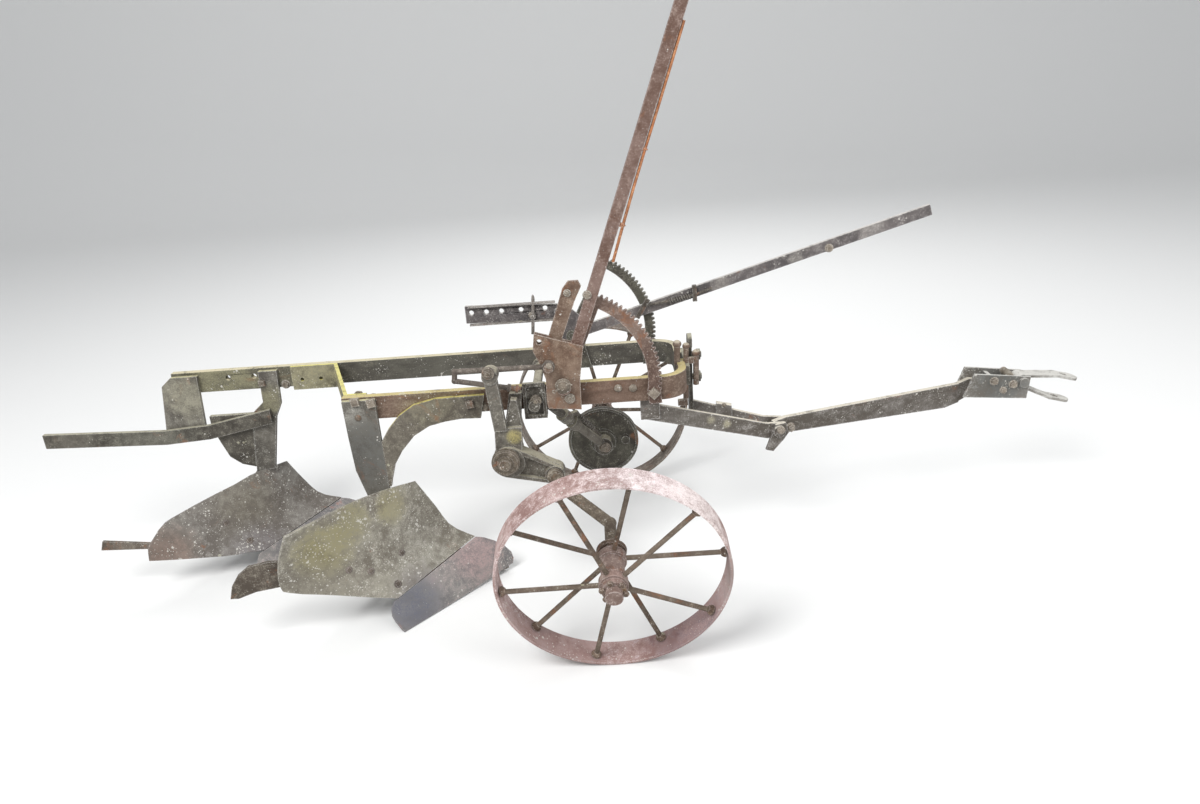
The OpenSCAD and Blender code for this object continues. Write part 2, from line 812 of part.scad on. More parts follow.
module tongue() {
    // a bar from the straps' bolt to the inner side of the head's left plate
    a = [joint_x, joint_y];
    b = [head_x - 14, head_y + head_w / 2 - tongue_t / 2 - seat_gap];
    l = norm(b - a);
    color([0.46, 0.43, 0.36])
        difference() {
            union() {
                upright_bar(a, b, [[-16, joint_z - 20], [-16, joint_z + 20], [30, joint_z + 27],
                    [l, head_z - 8], [l, head_z - 78], [l - 60, head_z - 88], [30, joint_z - 27]], tongue_t);
                slab([[head_x - 20, head_z - 78], [head_x - 20, head_z - 8], [head_x + 20, head_z + 8],
                    [head_x + 60, head_z + 4], [head_x + 60, head_z - 40], [head_x + 20, head_z - 56]],
                    b[1] - tongue_t / 2, b[1] + tongue_t / 2);
            }
            joint_bore(pivot_r + run_gap);
        }
}

module at_head() {
    translate([head_x, head_y, head_z])
        rotate([0, head_droop, 0])
            children();
}

module hitch_head() {
    h = head_h / 2;
    w = head_w / 2;
    color([0.5, 0.48, 0.42])
        at_head()
            union() {
                slab([[-10, -h], [14, h], [head_l, h - 2], [head_l, 4 - h]], -w - 8, -w);
                slab([[-14, -24], [4, h + 4], [head_l - 6, h], [head_l, 4 - h], [40, -h]], w, w + 8);
                box(70, 84, -w, w, -h + 8, h - 8);
                disc_y(clevis_s, 20, pivot_r, -w - 16, w + 16);
                disc_y(clevis_s, 20, 17, -w - 18, -w - 8);
            }
}

module hitch_clevis() {
    w = head_w / 2 - 1;
    g = hitch_gap / 2;
    color([0.5, 0.48, 0.42])
        translate([clevis_x, head_y, clevis_z])
            rotate([0, hitch_droop, 0])
                difference() {
                    union() {
                        for (s = [-1, 1]) {
                            slab([[4, s * 14], [hitch_l - 28, s * g], [hitch_l + 24, s * g],
                                [hitch_l + 24, s * (g + 10)], [hitch_l - 28, s * (g + 10)],
                                [4, s * 24]], -w, w);
                            translate([hitch_l + 24, 0, s * (g + 5) - 5])
                                cylinder(h = 10, r = w);
                        }
                        disc_y(0, 0, 24, -w, w);
                    }
                    disc_y(0, 0, pivot_r + run_gap, -w - 1, w + 1);
                    translate([hitch_l, 0, -100])
                        cylinder(h = 200, r = hitch_r);
                }
}

// a wheel's pieces are drawn around Z, with the outer side up
module rim(r) {
    rotate_extrude($fn = 96)
        polygon([[r - rim_t, -rim_w / 2], [r, -rim_w / 2], [r, rim_w / 2], [r - rim_t, rim_w / 2]]);
}

module spokes(r) {
    difference() {
        intersection() {
            for (i = [0 : spoke_n - 1])
                rotate([0, 0, i * 360 / spoke_n + 6])
                    rod([hub_r - 8, 0, i % 2 == 0 ? -48 : 44], [r, 0, i % 2 == 0 ? -14 : 14], spoke_r);
            cylinder(h = 300, r = r - rim_t, center = true, $fn = 96);
        }
        cylinder(h = 300, r = hub_r, center = true);
    }
}

module hub() {
    difference() {
        union() {
            cylinder(h = hub_l, r = hub_r - 7, center = true);
            for (z = [-60, 33])
                translate([0, 0, z])
                    cylinder(h = 24, r = hub_r);
            translate([0, 0, hub_l / 2])
                cylinder(h = cap_l, r = 24);
        }
        translate([0, 0, -hub_l / 2 - 1])
            cylinder(h = hub_l + 13, r = axle_r + run_gap);
    }
}

module at_near() {
    translate([near_x, -near_y, near_z])
        rotate([90 + near_lean, 0, 0])
            children();
}

module at_land() {
    translate([land_x, land_wheel_y, land_r])
        rotate([-90, 0, 0])
            children();
}

module near_lever() {
    color([0.42, 0.26, 0.18])
        translate([near_piv_x, bar_back, near_piv_z])
            rotate([0, -near_lever_a, 0])
                difference() {
                    union() {
                        translate([0, -lever_t, -lever_w / 2])
                            cube([near_lever_l, lever_t, lever_w]);
                        translate([0, 0, 0])
                            rotate([90, 0, 0])
                                cylinder(h = lever_t, r = 24);
                    }
                    translate([0, 1, 0])
                        rotate([90, 0, 0])
                            cylinder(h = lever_t + 2, r = pivot_r + run_gap);
                }
}

plate_line = [[-75, 174], [68, 126], [51, 19], [49, -76], [-51, -66], [-55, -40], [-52, 30], [-63, 72], [-83, 121]];

stay_line = [[-168, 838], [-128, 828], [-80, 945], [-58, 988], [-66, 1006], [-96, 1006], [-114, 984]];

module near_lever_plates() {
    color([0.45, 0.24, 0.16])
        difference() {
            union() {
                for (y = [side_face, bar_back])
                    translate([near_piv_x, 0, near_piv_z])
                        slab(plate_line, y, y + side_t);
                slab(stay_line, bar_back, side_back);
                disc_y(pin_x, pin_z, 9, link_y - 22, side_face);
                disc_y(pin_x, pin_z, 14, link_y - 20, link_y - 12);
                disc_y(near_piv_x - 42, near_piv_z + 20, 6, side_face, side_back);
            }
            disc_y(near_piv_x, near_piv_z, pivot_r + run_gap, side_face - 5, side_back + 5);
            disc_y(near_piv_x - 62, near_piv_z + 148, 8, side_face - 5, side_back + 5);
        }
}

module near_link() {
    end = [pin_x - 90, link_y, pin_z - 66];
    bend = [pin_x - 284, link_y, pin_z - 26];
    color([0.38, 0.3, 0.24])
        difference() {
            union() {
                bent_rod([[pin_x, link_y, pin_z], [pin_x - 280, link_y, pin_z + 4], bend, end], link_r);
                disc_y(pin_x, pin_z, 18, link_y - 8, link_y + 8);
                for (k = [0.8, 0.92])
                    rod(bend + k * (end - bend), bend + (k + 0.05) * (end - bend), 12);
            }
            disc_y(pin_x, pin_z, 9 + run_gap, link_y - 20, link_y + 20);
        }
}

module far_lever() {
    color([0.44, 0.4, 0.3])
        translate([far_piv_x, far_bar_back, far_piv_z])
            rotate([0, -far_lever_a, 0])
                difference() {
                    union() {
                        translate([0, -lever_t, -lever_w / 2])
                            cube([far_lever_l, lever_t, lever_w]);
                        rotate([90, 0, 0])
                            cylinder(h = lever_t, r = 26);
                    }
                    translate([0, 1, 0])
                        rotate([90, 0, 0])
                            cylinder(h = lever_t + 2, r = pivot_r + run_gap);
                }
}

module far_lever_plate() {
    color([0.42, 0.3, 0.24])
        difference() {
            union() {
                translate([far_piv_x, 0, far_piv_z])
                    slab([[-40, -30], [-58, 100], [-20, 116], [40, 60], [30, -30]], far_bar_face - side_t, far_bar_face);
                disc_y(far_pin_x, far_pin_z, 9, far_link_y - 24, far_bar_face);
                disc_y(far_pin_x, far_pin_z, 14, far_link_y - 22, far_link_y - 10);
            }
            disc_y(far_piv_x, far_piv_z, pivot_r + run_gap, far_bar_face - 20, far_bar_face + 5);
        }
}

module far_link() {
    color([0.44, 0.42, 0.34])
        difference() {
            translate([0, far_link_y - 6, 0])
                difference() {
                    slab([[-455, far_pin_z - 22], [-455, far_pin_z + 38], [-125, far_pin_z + 24],
                        [-125, far_pin_z - 28]], 0, 12);
                    for (x = [-435, -385, -335, -270, -190])
                        disc_y(x, far_pin_z + 14, 8, -5, 20);
                }
            disc_y(far_pin_x, far_pin_z, 9 + run_gap, far_link_y - 40, far_link_y + 40);
        }
}

translate([-x_mid, -y_mid, 0]) {
    near_beam();
    far_beam();
    beam_brace();
    front_cross();
    drawbar_clamp();
    front_leg();
    front_standard();
    frog(0);  // front_frog
    moldboard(0);  // front_moldboard
    share(0);  // front_share
    tail_strip(0, front_tail, 6);  // front_tailpiece
    landside(0);  // front_landside
    board_strut(0);  // front_strut
    rear_leg();
    rear_standard();
    frog(1);  // rear_frog
    moldboard(1);  // rear_moldboard
    share(1);  // rear_share
    tail_strip(1, rear_tail, 0);  // rear_tailpiece
    landside(1);  // rear_landside
    board_strut(1);  // rear_strut
    tail_plate();
    tail_bar();
    near_quadrant();
    far_quadrant();
    crank_bracket();
    crank_hanger();
    bell_crank();
    near_axle();
    cross_shaft();
    land_crank();
    clutch_disc();
    land_axle();
    near_strap();
    far_strap();
    strap_joint();
    tongue();
    hitch_head();
    hitch_clevis();
    color([0.5, 0.32, 0.26]) at_near() rim(near_r);  // near_rim
    color([0.42, 0.34, 0.24]) at_near() spokes(near_r);  // near_spokes
    color([0.42, 0.26, 0.18]) at_near() hub();  // near_hub
    color([0.42, 0.34, 0.26]) at_land() rim(land_r);  // land_rim
    color([0.42, 0.34, 0.24]) at_land() spokes(land_r);  // land_spokes
    color([0.4, 0.3, 0.22]) at_land() hub();  // land_hub
    near_lever();
    near_lever_plates();
    near_link();
    far_lever();
    far_lever_plate();
    far_link();
}
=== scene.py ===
import json
import math

import bmesh
import bpy
from bpy.props import FloatProperty, FloatVectorProperty, PointerProperty
from mathutils import Matrix, Vector
from mathutils.bvhtree import BVHTree


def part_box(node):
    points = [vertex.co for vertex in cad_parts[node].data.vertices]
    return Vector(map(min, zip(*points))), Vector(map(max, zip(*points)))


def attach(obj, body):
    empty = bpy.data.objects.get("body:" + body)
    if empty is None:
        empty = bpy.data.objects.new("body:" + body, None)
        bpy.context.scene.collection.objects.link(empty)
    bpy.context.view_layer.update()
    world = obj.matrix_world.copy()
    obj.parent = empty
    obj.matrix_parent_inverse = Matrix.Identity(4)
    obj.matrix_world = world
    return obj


bl_info = {
    "name": "Furrow Plough Looks",
    "version": (1, 1, 0),
    "blender": (4, 5, 0),
    "location": "View3D > Sidebar > Plough",
    "description": "Weathered finishes, fasteners and small fittings for a trailed furrow plough",
    "category": "Object",
}

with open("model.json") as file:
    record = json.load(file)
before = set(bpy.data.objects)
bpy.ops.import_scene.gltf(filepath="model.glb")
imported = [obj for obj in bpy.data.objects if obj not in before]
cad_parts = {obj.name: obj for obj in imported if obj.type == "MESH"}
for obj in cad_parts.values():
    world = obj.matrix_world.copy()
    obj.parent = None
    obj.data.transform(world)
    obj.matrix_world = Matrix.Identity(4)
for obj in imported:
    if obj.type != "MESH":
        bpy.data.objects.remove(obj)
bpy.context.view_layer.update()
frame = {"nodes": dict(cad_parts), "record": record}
BODY_OF = {node: body for body, nodes in frame["record"]["behaviour"]["bodies"].items() for node in nodes}

# Camera: its place, its angles and its focal length in pixels of the 1200 by 804 photo
CAMERA_AT = Vector((0.170879, -2.681638, 1.65))
PITCH = math.radians(21.76)
ROLL = math.radians(-4.08)
YAW = math.radians(-0.6)
FOCAL = 905.0
PHOTO = (1200.0, 804.0)

# Directions in the frame: towards the furrow side, where the camera stands, and its opposites
FURROW_SIDE = Vector((0, -1, 0))
LAND_SIDE = Vector((0, 1, 0))
UP = Vector((0, 0, 1))

BOARDS = ("front_moldboard", "rear_moldboard", "front_share", "rear_share")


class PloughSizes(bpy.types.PropertyGroup):
    """Sizes of the small fittings"""
    bolt_across: FloatProperty(
        name="Bolt head", description="Width of a beam bolt head across its flats",
        default=0.026, min=0.01, unit="LENGTH")
    small_bolt: FloatProperty(
        name="Small bolt head", description="Width of a plate bolt head across its flats",
        default=0.019, min=0.006, unit="LENGTH")
    rod: FloatProperty(
        name="Latch rod", description="Diameter of the latch rods and their springs' wire guides",
        default=0.009, min=0.003, unit="LENGTH")
    spring_wire: FloatProperty(
        name="Spring wire", description="Diameter of the wire in the coil springs",
        default=0.0028, min=0.001, unit="LENGTH")
    edge_round: FloatProperty(
        name="Edge rounding", description="Radius worn onto the edges of bars and castings",
        default=0.0016, min=0.0, unit="LENGTH")


class PloughColours(bpy.types.PropertyGroup):
    """Colours of the rust and lichen"""
    lichen: FloatVectorProperty(
        name="Lichen", description="Dull yellow-green crust on upper faces", subtype="COLOR",
        size=3, min=0, max=1, default=(0.33, 0.31, 0.19))
    bloom: FloatVectorProperty(
        name="Bloom", description="Pale grey specks and whitish bloom", subtype="COLOR",
        size=3, min=0, max=1, default=(0.60, 0.58, 0.53))
    rust: FloatVectorProperty(
        name="Rust", description="Orange-brown rust", subtype="COLOR",
        size=3, min=0, max=1, default=(0.20, 0.088, 0.045))
    floor: FloatVectorProperty(
        name="Floor", description="Plain studio floor", subtype="COLOR",
        size=3, min=0, max=1, default=(0.80, 0.80, 0.79))


class Wire:
    """One socket of a node tree; sums and products of wires add their own nodes"""

    def __init__(self, tree, socket):
        self.tree = tree
        self.socket = socket

    def has_colour(self, other):
        kinds = {"RGBA", "VECTOR"}
        far = other.socket.type in kinds if isinstance(other, Wire) else hasattr(other, "__len__")
        return self.socket.type in kinds or far

    def join(self, operation, first, second):
        kind = "ShaderNodeVectorMath" if self.has_colour(second if first is self else first) else "ShaderNodeMath"
        return self.tree.add(kind, {"operation": operation}, {0: first, 1: second})

    def __add__(self, other):
        return self.join("ADD", self, other)

    def __radd__(self, other):
        return self.join("ADD", other, self)

    def __sub__(self, other):
        return self.join("SUBTRACT", self, other)

    def __rsub__(self, other):
        return self.join("SUBTRACT", other, self)

    def __mul__(self, other):
        return self.join("MULTIPLY", self, other)

    def __rmul__(self, other):
        return self.join("MULTIPLY", other, self)

    def clamp(self):
        return self.tree.add("ShaderNodeClamp", {}, {"Value": self})

    def ramp(self, low, high):
        """0 below low, 1 above high, and a smooth rise between them"""
        return self.tree.add("ShaderNodeMapRange", {"interpolation_type": "SMOOTHSTEP"},
                             {"Value": self, "From Min": low, "From Max": high})

    def most(self, other):
        return self.tree.add("ShaderNodeMath", {"operation": "MAXIMUM"}, {0: self, 1: other})


class Tree:
    """A node tree that is built by expressions on wires"""

    def __init__(self, node_tree):
        self.nodes = node_tree.nodes
        self.links = node_tree.links
        self.nodes.clear()

    def add(self, kind, settings, values, out=0):
        """Adds one node: its settings first, then the values or wires of its sockets"""
        node = self.nodes.new(kind)
        for key, value in settings.items():
            setattr(node, key, value)
        for key, value in values.items():
            socket = node.inputs[key]
            if isinstance(value, Wire):
                self.links.new(value.socket, socket)
            elif socket.type == "RGBA" and len(value) == 3:
                socket.default_value = (*value, 1.0)
            else:
                socket.default_value = value
        return Wire(self, node.outputs[out]) if node.outputs else None


class Finish(Tree):
    """A material with one principled shader"""

    def __init__(self, name):
        self.material = bpy.data.materials.new(name)
        self.material.use_nodes = True
        super().__init__(self.material.node_tree)
        self.place = self.add("ShaderNodeTexCoord", {}, {}, "Object")

    def shade(self, **sockets):
        """Adds the principled shader with its sockets' values or wires, and the output"""
        values = {key.replace("_", " "): value for key, value in sockets.items()}
        surface = self.add("ShaderNodeBsdfPrincipled", {}, values)
        self.add("ShaderNodeOutputMaterial", {}, {"Surface": surface})

    def shifted(self, seed, stretch=(1, 1, 1)):
        return self.add("ShaderNodeMapping", {}, {
            "Vector": self.place, "Location": (seed, seed * 0.7, seed * 1.3), "Scale": stretch})

    def noise(self, scale, detail, rough, seed=0.0, stretch=(1, 1, 1), warp=0.0):
        return self.add("ShaderNodeTexNoise", {"noise_dimensions": "3D"}, {
            "Vector": self.shifted(seed, stretch), "Scale": scale, "Detail": detail,
            "Roughness": rough, "Distortion": warp}, "Fac")

    def cells(self, scale, seed=0.0, wobble=0.006):
        """Distance to the nearest of many scattered points, along lines that wobble"""
        push = self.add("ShaderNodeTexNoise", {"noise_dimensions": "3D"}, {
            "Vector": self.place, "Scale": 60.0, "Detail": 3.0}, "Color")
        return self.add("ShaderNodeTexVoronoi", {"feature": "F1"}, {
            "Vector": self.shifted(seed) + (push - (0.5, 0.5, 0.5)) * (wobble, wobble, wobble),
            "Scale": scale}, "Distance")

    def mix(self, mask, under, over):
        return self.add("ShaderNodeMix", {"data_type": "RGBA"}, {0: mask, 6: under, 7: over}, 2)

    def upward(self):
        """1 on faces that look up, 0 on walls, -1 underneath"""
        normal = self.add("ShaderNodeTexCoord", {}, {}, "Normal")
        return self.add("ShaderNodeSeparateXYZ", {}, {"Vector": normal}, "Z")

    def edges(self, radius):
        """1 along edges that wear has rounded, 0 on flat faces"""
        rounded = self.add("ShaderNodeBevel", {"samples": 4}, {"Radius": radius})
        flat = self.add("ShaderNodeNewGeometry", {}, {}, "Normal")
        same = self.add("ShaderNodeVectorMath", {"operation": "DOT_PRODUCT"}, {0: rounded, 1: flat}, "Value")
        return (1 - same).ramp(0.015, 0.14)

    def near(self, centre, radius):
        """1 at a point of the frame, falling to 0 at a radius"""
        gap = self.add("ShaderNodeVectorMath", {"operation": "DISTANCE"},
                       {0: self.place, 1: tuple(centre)}, "Value")
        return (1 - gap * (1.0 / radius)).clamp()

    def bump(self, height, strength, depth):
        return self.add("ShaderNodeBump", {}, {"Height": height, "Strength": strength, "Distance": depth})


def ink(red, green, blue):
    """A colour written as 0 to 255 on screen, turned into light"""
    def one(value):
        value = value / 255.0
        return value / 12.92 if value <= 0.04045 else ((value + 0.055) / 1.055) ** 2.4
    return (one(red), one(green), one(blue))


def paler(colour, share):
    return tuple(c + (1.0 - c) * share for c in colour)


def weathered(name, dark, mid, light, rust=0.3, lichen=0.3, top=0.4, specks=0.4, seed=0.0,
              stretch=(1, 1, 1), rust_colour=None, tint=None, edge_highlight_and_wear=0.5, painted_top_light=None, painted_top_light_share=0.95,
              colour_patches=(), rough=0.7):
    """Old steel: mottled tones, rust, colour patches, painted pale top light on upper faces, lichen colonies and
    pale edges from wear and painted highlight
    """
    colours = bpy.context.scene.plough_colours
    crust_tint = tint or tuple(colours.lichen)
    f = Finish(name)
    broad = f.noise(6.0, 5.0, 0.62, seed, stretch, 0.5)
    fine = f.noise(38.0, 6.0, 0.70, seed + 3.1, stretch, 0.3)
    grain = f.noise(240.0, 3.0, 0.70, seed + 7.7)
    base = f.mix((broad * 0.5 + fine * 0.35 + grain * 0.15).ramp(0.40, 0.60), dark, mid)
    base = f.mix((fine * 0.5 + grain * 0.5).ramp(0.50, 0.66) * 0.75, base, light)

    rusty = f.noise(9.0, 7.0, 0.75, seed + 12.0, stretch, 1.2)
    rust_mask = rusty.ramp(0.66 - 0.26 * rust, 0.76 - 0.26 * rust) * (fine.ramp(0.30, 0.58) * 0.8)
    base = f.mix(rust_mask, base, rust_colour or tuple(colours.rust))

    # Pale edges: partly wear, partly painted highlight along every rounded edge
    worn = f.edges(0.0050) * grain.ramp(0.36, 0.58) * edge_highlight_and_wear
    base = f.mix(worn, base, paler(light, 0.25))

    for point, radius, colour, share in colour_patches:
        spread = f.near(point, radius) + (broad * 0.6 + fine * 0.4 - 0.5) * 1.6
        mottle = (fine * 0.45 + grain * 0.55).ramp(0.36, 0.62) * 0.75 + 0.25
        base = f.mix(spread.ramp(0.10, 0.75) * mottle * share, base, colour)
    # Painted top light: upper faces are made paler, with a mottle, as if lit from above
    if painted_top_light:
        top_light_mask = f.upward().ramp(0.35, 0.75) * (fine * 0.6 + grain * 0.4).ramp(0.34, 0.50) * painted_top_light_share
        base = f.mix(top_light_mask, base, ink(*painted_top_light))

    colony = f.noise(4.6, 4.0, 0.60, seed + 30.0) + f.upward().ramp(0.15, 0.95) * (0.15 * top)
    reach = colony.ramp(0.62 - 0.17 * lichen, 0.90 - 0.17 * lichen) * 0.62
    crust = (reach - f.cells(30.0, seed + 2.0)).ramp(-0.02, 0.05)
    crust = crust.most((reach - f.cells(88.0, seed + 5.0)).ramp(-0.02, 0.06))
    crust_colour = f.mix(grain.ramp(0.36, 0.62), crust_tint, paler(crust_tint, 0.30))
    base = f.mix(crust * (0.45 + 0.35 * min(1.0, lichen)), base, crust_colour)

    field = f.noise(16.0, 5.0, 0.70, seed + 41.0).ramp(0.42 - 0.12 * specks, 0.86 - 0.08 * specks)
    dots = (field * 0.36 - f.cells(130.0, seed + 8.0, 0.004)).ramp(-0.01, 0.05)
    dots = dots.most((field * 0.27 - f.cells(46.0, seed + 9.0)).ramp(-0.01, 0.04))
    base = f.mix(dots * 0.7, base, tuple(colours.bloom))

    roughness = fine * 0.2 + (rough - 0.10) + rust_mask * 0.06 + crust * 0.08
    height = fine * 0.45 + grain * 0.30 + crust * 0.55 + dots * 0.30 - rust_mask * 0.25
    f.shade(Base_Color=base, Roughness=roughness.clamp(), Specular_IOR_Level=0.28,
            Normal=f.bump(height, 0.55, 0.0020))
    return f


def camera_axes():
    """The camera's own right, up and forward directions"""
    ahead = Vector((math.sin(YAW) * math.cos(PITCH), math.cos(YAW) * math.cos(PITCH), -math.sin(PITCH)))
    level = Vector((math.cos(YAW), -math.sin(YAW), 0))
    rise = level.cross(ahead)
    right = math.cos(ROLL) * level + math.sin(ROLL) * rise
    up = -math.sin(ROLL) * level + math.cos(ROLL) * rise
    return right, up, ahead


def solid_trees():
    trees = {}
    for node, obj in frame["nodes"].items():
        corners = [v.co for v in obj.data.vertices]
        trees[node] = BVHTree.FromPolygons(corners, [tuple(p.vertices) for p in obj.data.polygons])
    return trees


SOLIDS = solid_trees()


def strike(start, direction, nodes=None, reach=9.0):
    """First solid that a line meets: its point, its face direction and its node"""
    best = None
    for node in nodes or SOLIDS:
        point, normal, _, gap = SOLIDS[node].ray_cast(start, direction, reach)
        if point is not None and (best is None or gap < best[3]):
            best = (point, normal if normal.dot(direction) < 0 else -normal, node, gap)
    return best


def pixel_line(u, v):
    """Direction from the camera through a pixel of the photo"""
    right, up, ahead = camera_axes()
    return (ahead * FOCAL + right * (u - PHOTO[0] / 2) - up * (v - PHOTO[1] / 2)).normalized()


def seat(u, v, nodes=None):
    """The solid that lies under a pixel of the photo"""
    found = strike(CAMERA_AT, pixel_line(u, v), nodes)
    if found is None:
        raise RuntimeError(f"no solid under pixel {u}, {v}")
    return found[:3]


def on_plane(u, v, y):
    """The point under a pixel at a given distance across the plough"""
    line = pixel_line(u, v)
    return CAMERA_AT + line * ((y - CAMERA_AT.y) / line.y)


def colour_patch(u, v, pixels, colour, share):
    """A colour patch centred under a pixel: its point, its radius in metres, its colour and its strength"""
    point = seat(u, v)[0]
    return point, pixels * (point - CAMERA_AT).length / FOCAL, ink(*colour), share


def rounded_shading(limit):
    """A node group that drops the custom normals and shades the facets round up to an angle"""
    group = bpy.data.node_groups.new("rounded_shading", "GeometryNodeTree")
    group.interface.new_socket("Geometry", in_out="INPUT", socket_type="NodeSocketGeometry")
    group.interface.new_socket("Geometry", in_out="OUTPUT", socket_type="NodeSocketGeometry")
    tree = Tree(group)
    mesh = tree.add("NodeGroupInput", {}, {})
    mesh = tree.add("GeometryNodeRemoveAttribute", {}, {"Geometry": mesh, "Name": "custom_normal"})
    mesh = tree.add("GeometryNodeSetShadeSmooth", {"domain": "FACE"}, {"Geometry": mesh, "Shade Smooth": True})
    angle = tree.add("GeometryNodeInputMeshEdgeAngle", {}, {}, "Unsigned Angle")
    sharp = tree.add("FunctionNodeCompare", {"data_type": "FLOAT", "operation": "GREATER_THAN"},
                     {0: angle, 1: limit})
    mesh = tree.add("GeometryNodeSetShadeSmooth", {"domain": "EDGE"},
                    {"Geometry": mesh, "Selection": sharp, "Shade Smooth": False})
    tree.add("NodeGroupOutput", {}, {0: mesh})
    return group


def dress(nodes, finish):
    """Gives CAD nodes a finish, worn edges and round shading"""
    size = bpy.context.scene.plough_sizes.edge_round
    group = bpy.data.node_groups.get("rounded_shading") or rounded_shading(math.radians(38))
    for name in nodes:
        obj = frame["nodes"][name]
        for slot in obj.material_slots:
            slot.material = finish.material
        weld = obj.modifiers.new("joined_facets", "WELD")
        weld.merge_threshold = 0.00003
        if size > 0 and name not in BOARDS:
            worn = obj.modifiers.new("worn_edges", "BEVEL")
            worn.width = size
            worn.segments = 2
            worn.limit_method = "ANGLE"
            worn.angle_limit = math.radians(38)
        obj.modifiers.new("rounded_shading", "NODES").node_group = group
        even = obj.modifiers.new("even_faces", "WEIGHTED_NORMAL")
        even.keep_sharp = True


class Fittings:
    """Pieces of one kind; each body gets a mesh of its own"""

    def __init__(self, name, finish, slot):
        self.name = name
        self.finish = finish
        self.slot = slot
        self.meshes = {}

    def on(self, body):
        if body not in self.meshes:
            self.meshes[body] = bmesh.new()
        return self.meshes[body]

    def place(self, angle=40):
        for body, bm in self.meshes.items():
            mesh = closed_mesh(bm, f"{self.name}_{body}", angle)
            mesh.materials.append(self.finish.material)
            obj = bpy.data.objects.new(mesh.name, mesh)
            bpy.context.scene.collection.objects.link(obj)
            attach(obj, body)


def closed_mesh(bm, name, angle):
    bmesh.ops.recalc_face_normals(bm, faces=bm.faces)
    mesh = bpy.data.meshes.new(name)
    bm.to_mesh(mesh)
    bm.free()
    for face in mesh.polygons:
        face.use_smooth = True
    mesh.set_sharp_from_angle(angle=math.radians(angle))
    return mesh


def lathe(bm, place, direction, outline, sides=24, spin=0.0):
    """Turns (radius, height) points about an axis"""
    z = Vector(direction).normalized()
    x = z.cross(UP).normalized() if abs(z.z) < 0.9 else z.orthogonal().normalized()
    m = Matrix.Translation(Vector(place)) @ Matrix((x, z.cross(x), z)).transposed().to_4x4()
    rings = []
    for radius, height in outline:
        count = 1 if radius < 1e-6 else sides
        turn = [spin + 2 * math.pi * i / sides for i in range(count)]
        rings.append([bm.verts.new(m @ Vector((radius * math.cos(a), radius * math.sin(a), height)))
                      for a in turn])
    for low, high in zip(rings, rings[1:]):
        for i in range(sides):
            j = (i + 1) % sides
            if len(low) == 1:
                bm.faces.new((low[0], high[i], high[j]))
            elif len(high) == 1:
                bm.faces.new((low[i], low[j], high[0]))
            else:
                bm.faces.new((low[i], low[j], high[j], high[i]))


def prism_head(bm, place, direction, across, height, sides, spin):
    """A hexagon or square head with its corners chamfered"""
    r = across / 2 / math.cos(math.pi / sides)
    lathe(bm, place, direction, [(0, -0.001), (r, -0.001), (r, height * 0.80), (r * 0.86, height), (0, height)],
          sides, spin)


def round_head(bm, place, direction, across, height):
    """A low domed head"""
    r = across / 2
    dome = [(r * math.cos(a), height * (0.25 + 0.75 * math.sin(a))) for a in
            (0.0, 0.35, 0.70, 1.05, 1.35)]
    lathe(bm, place, direction, [(0, -0.001), (r, -0.001)] + dome + [(0, height)], 20)


def washer(bm, place, direction, radius, height):
    lathe(bm, place, direction, [(0, -0.001), (radius, -0.001), (radius, height * 0.7),
                                 (radius * 0.93, height), (0, height)], 24)


def nut_on_thread(bm, place, direction, across, spin=0.3):
    """A washer, a hexagon nut and the threaded end of its bolt"""
    axis = Vector(direction).normalized()
    plate = across * 0.10
    height = across * 0.45
    stub = across * 0.28
    pitch = 0.0022
    washer(bm, place, axis, across * 0.68, plate)
    prism_head(bm, place + axis * plate, axis, across, height, 6, spin)
    r = across * 0.27
    turns = max(2, round(stub / pitch))
    thread = [(r if i % 2 == 0 else r * 0.87, stub * i / (turns * 2)) for i in range(turns * 2 + 1)]
    lathe(bm, place + axis * (plate + height), axis, [(0, 0)] + thread + [(0, stub)], 12)


def tube(bm, points, radius, sides=10):
    """A round rod along a list of points"""
    points = [Vector(p) for p in points]
    rings = []
    normal = None
    for i, point in enumerate(points):
        before = point - points[i - 1] if i else points[1] - point
        after = points[i + 1] - point if i < len(points) - 1 else point - points[-2]
        tangent = (before.normalized() + after.normalized()).normalized()
        normal = normal or tangent.orthogonal().normalized()
        normal = (normal - tangent * normal.dot(tangent)).normalized()
        side = tangent.cross(normal)
        turn = [2 * math.pi * k / sides for k in range(sides)]
        rings.append([bm.verts.new(point + radius * (math.cos(a) * normal + math.sin(a) * side)) for a in turn])
    for low, high in zip(rings, rings[1:]):
        for k in range(sides):
            j = (k + 1) % sides
            bm.faces.new((low[k], low[j], high[j], high[k]))
    bm.faces.new(list(reversed(rings[0])))
    bm.faces.new(rings[-1])


def spring(bm, start, end, radius, wire, turns):
    """A coil spring between two points"""
    start, end = Vector(start), Vector(end)
    axis = (end - start).normalized()
    x = axis.orthogonal().normalized()
    y = axis.cross(x)
    steps = turns * 12
    tube(bm, [start + (end - start) * (i / steps) + radius * (math.cos(math.pi * i / 6) * x
              + math.sin(math.pi * i / 6) * y) for i in range(steps + 1)], wire / 2, 6)


def bar(bm, start, end, width, depth, across):
    """A flat bar from point to point: its width lies square to the direction across"""
    start, end, across = Vector(start), Vector(end), Vector(across).normalized()
    wide = (end - start).cross(across).normalized() * width / 2
    deep = across * depth / 2
    rings = [[bm.verts.new(p + a * wide + b * deep) for a, b in ((-1, -1), (1, -1), (1, 1), (-1, 1))]
             for p in (start, end)]
    for k in range(4):
        j = (k + 1) % 4
        bm.faces.new((rings[0][k], rings[0][j], rings[1][j], rings[1][k]))
    bm.faces.new(list(reversed(rings[0])))
    bm.faces.new(rings[1])


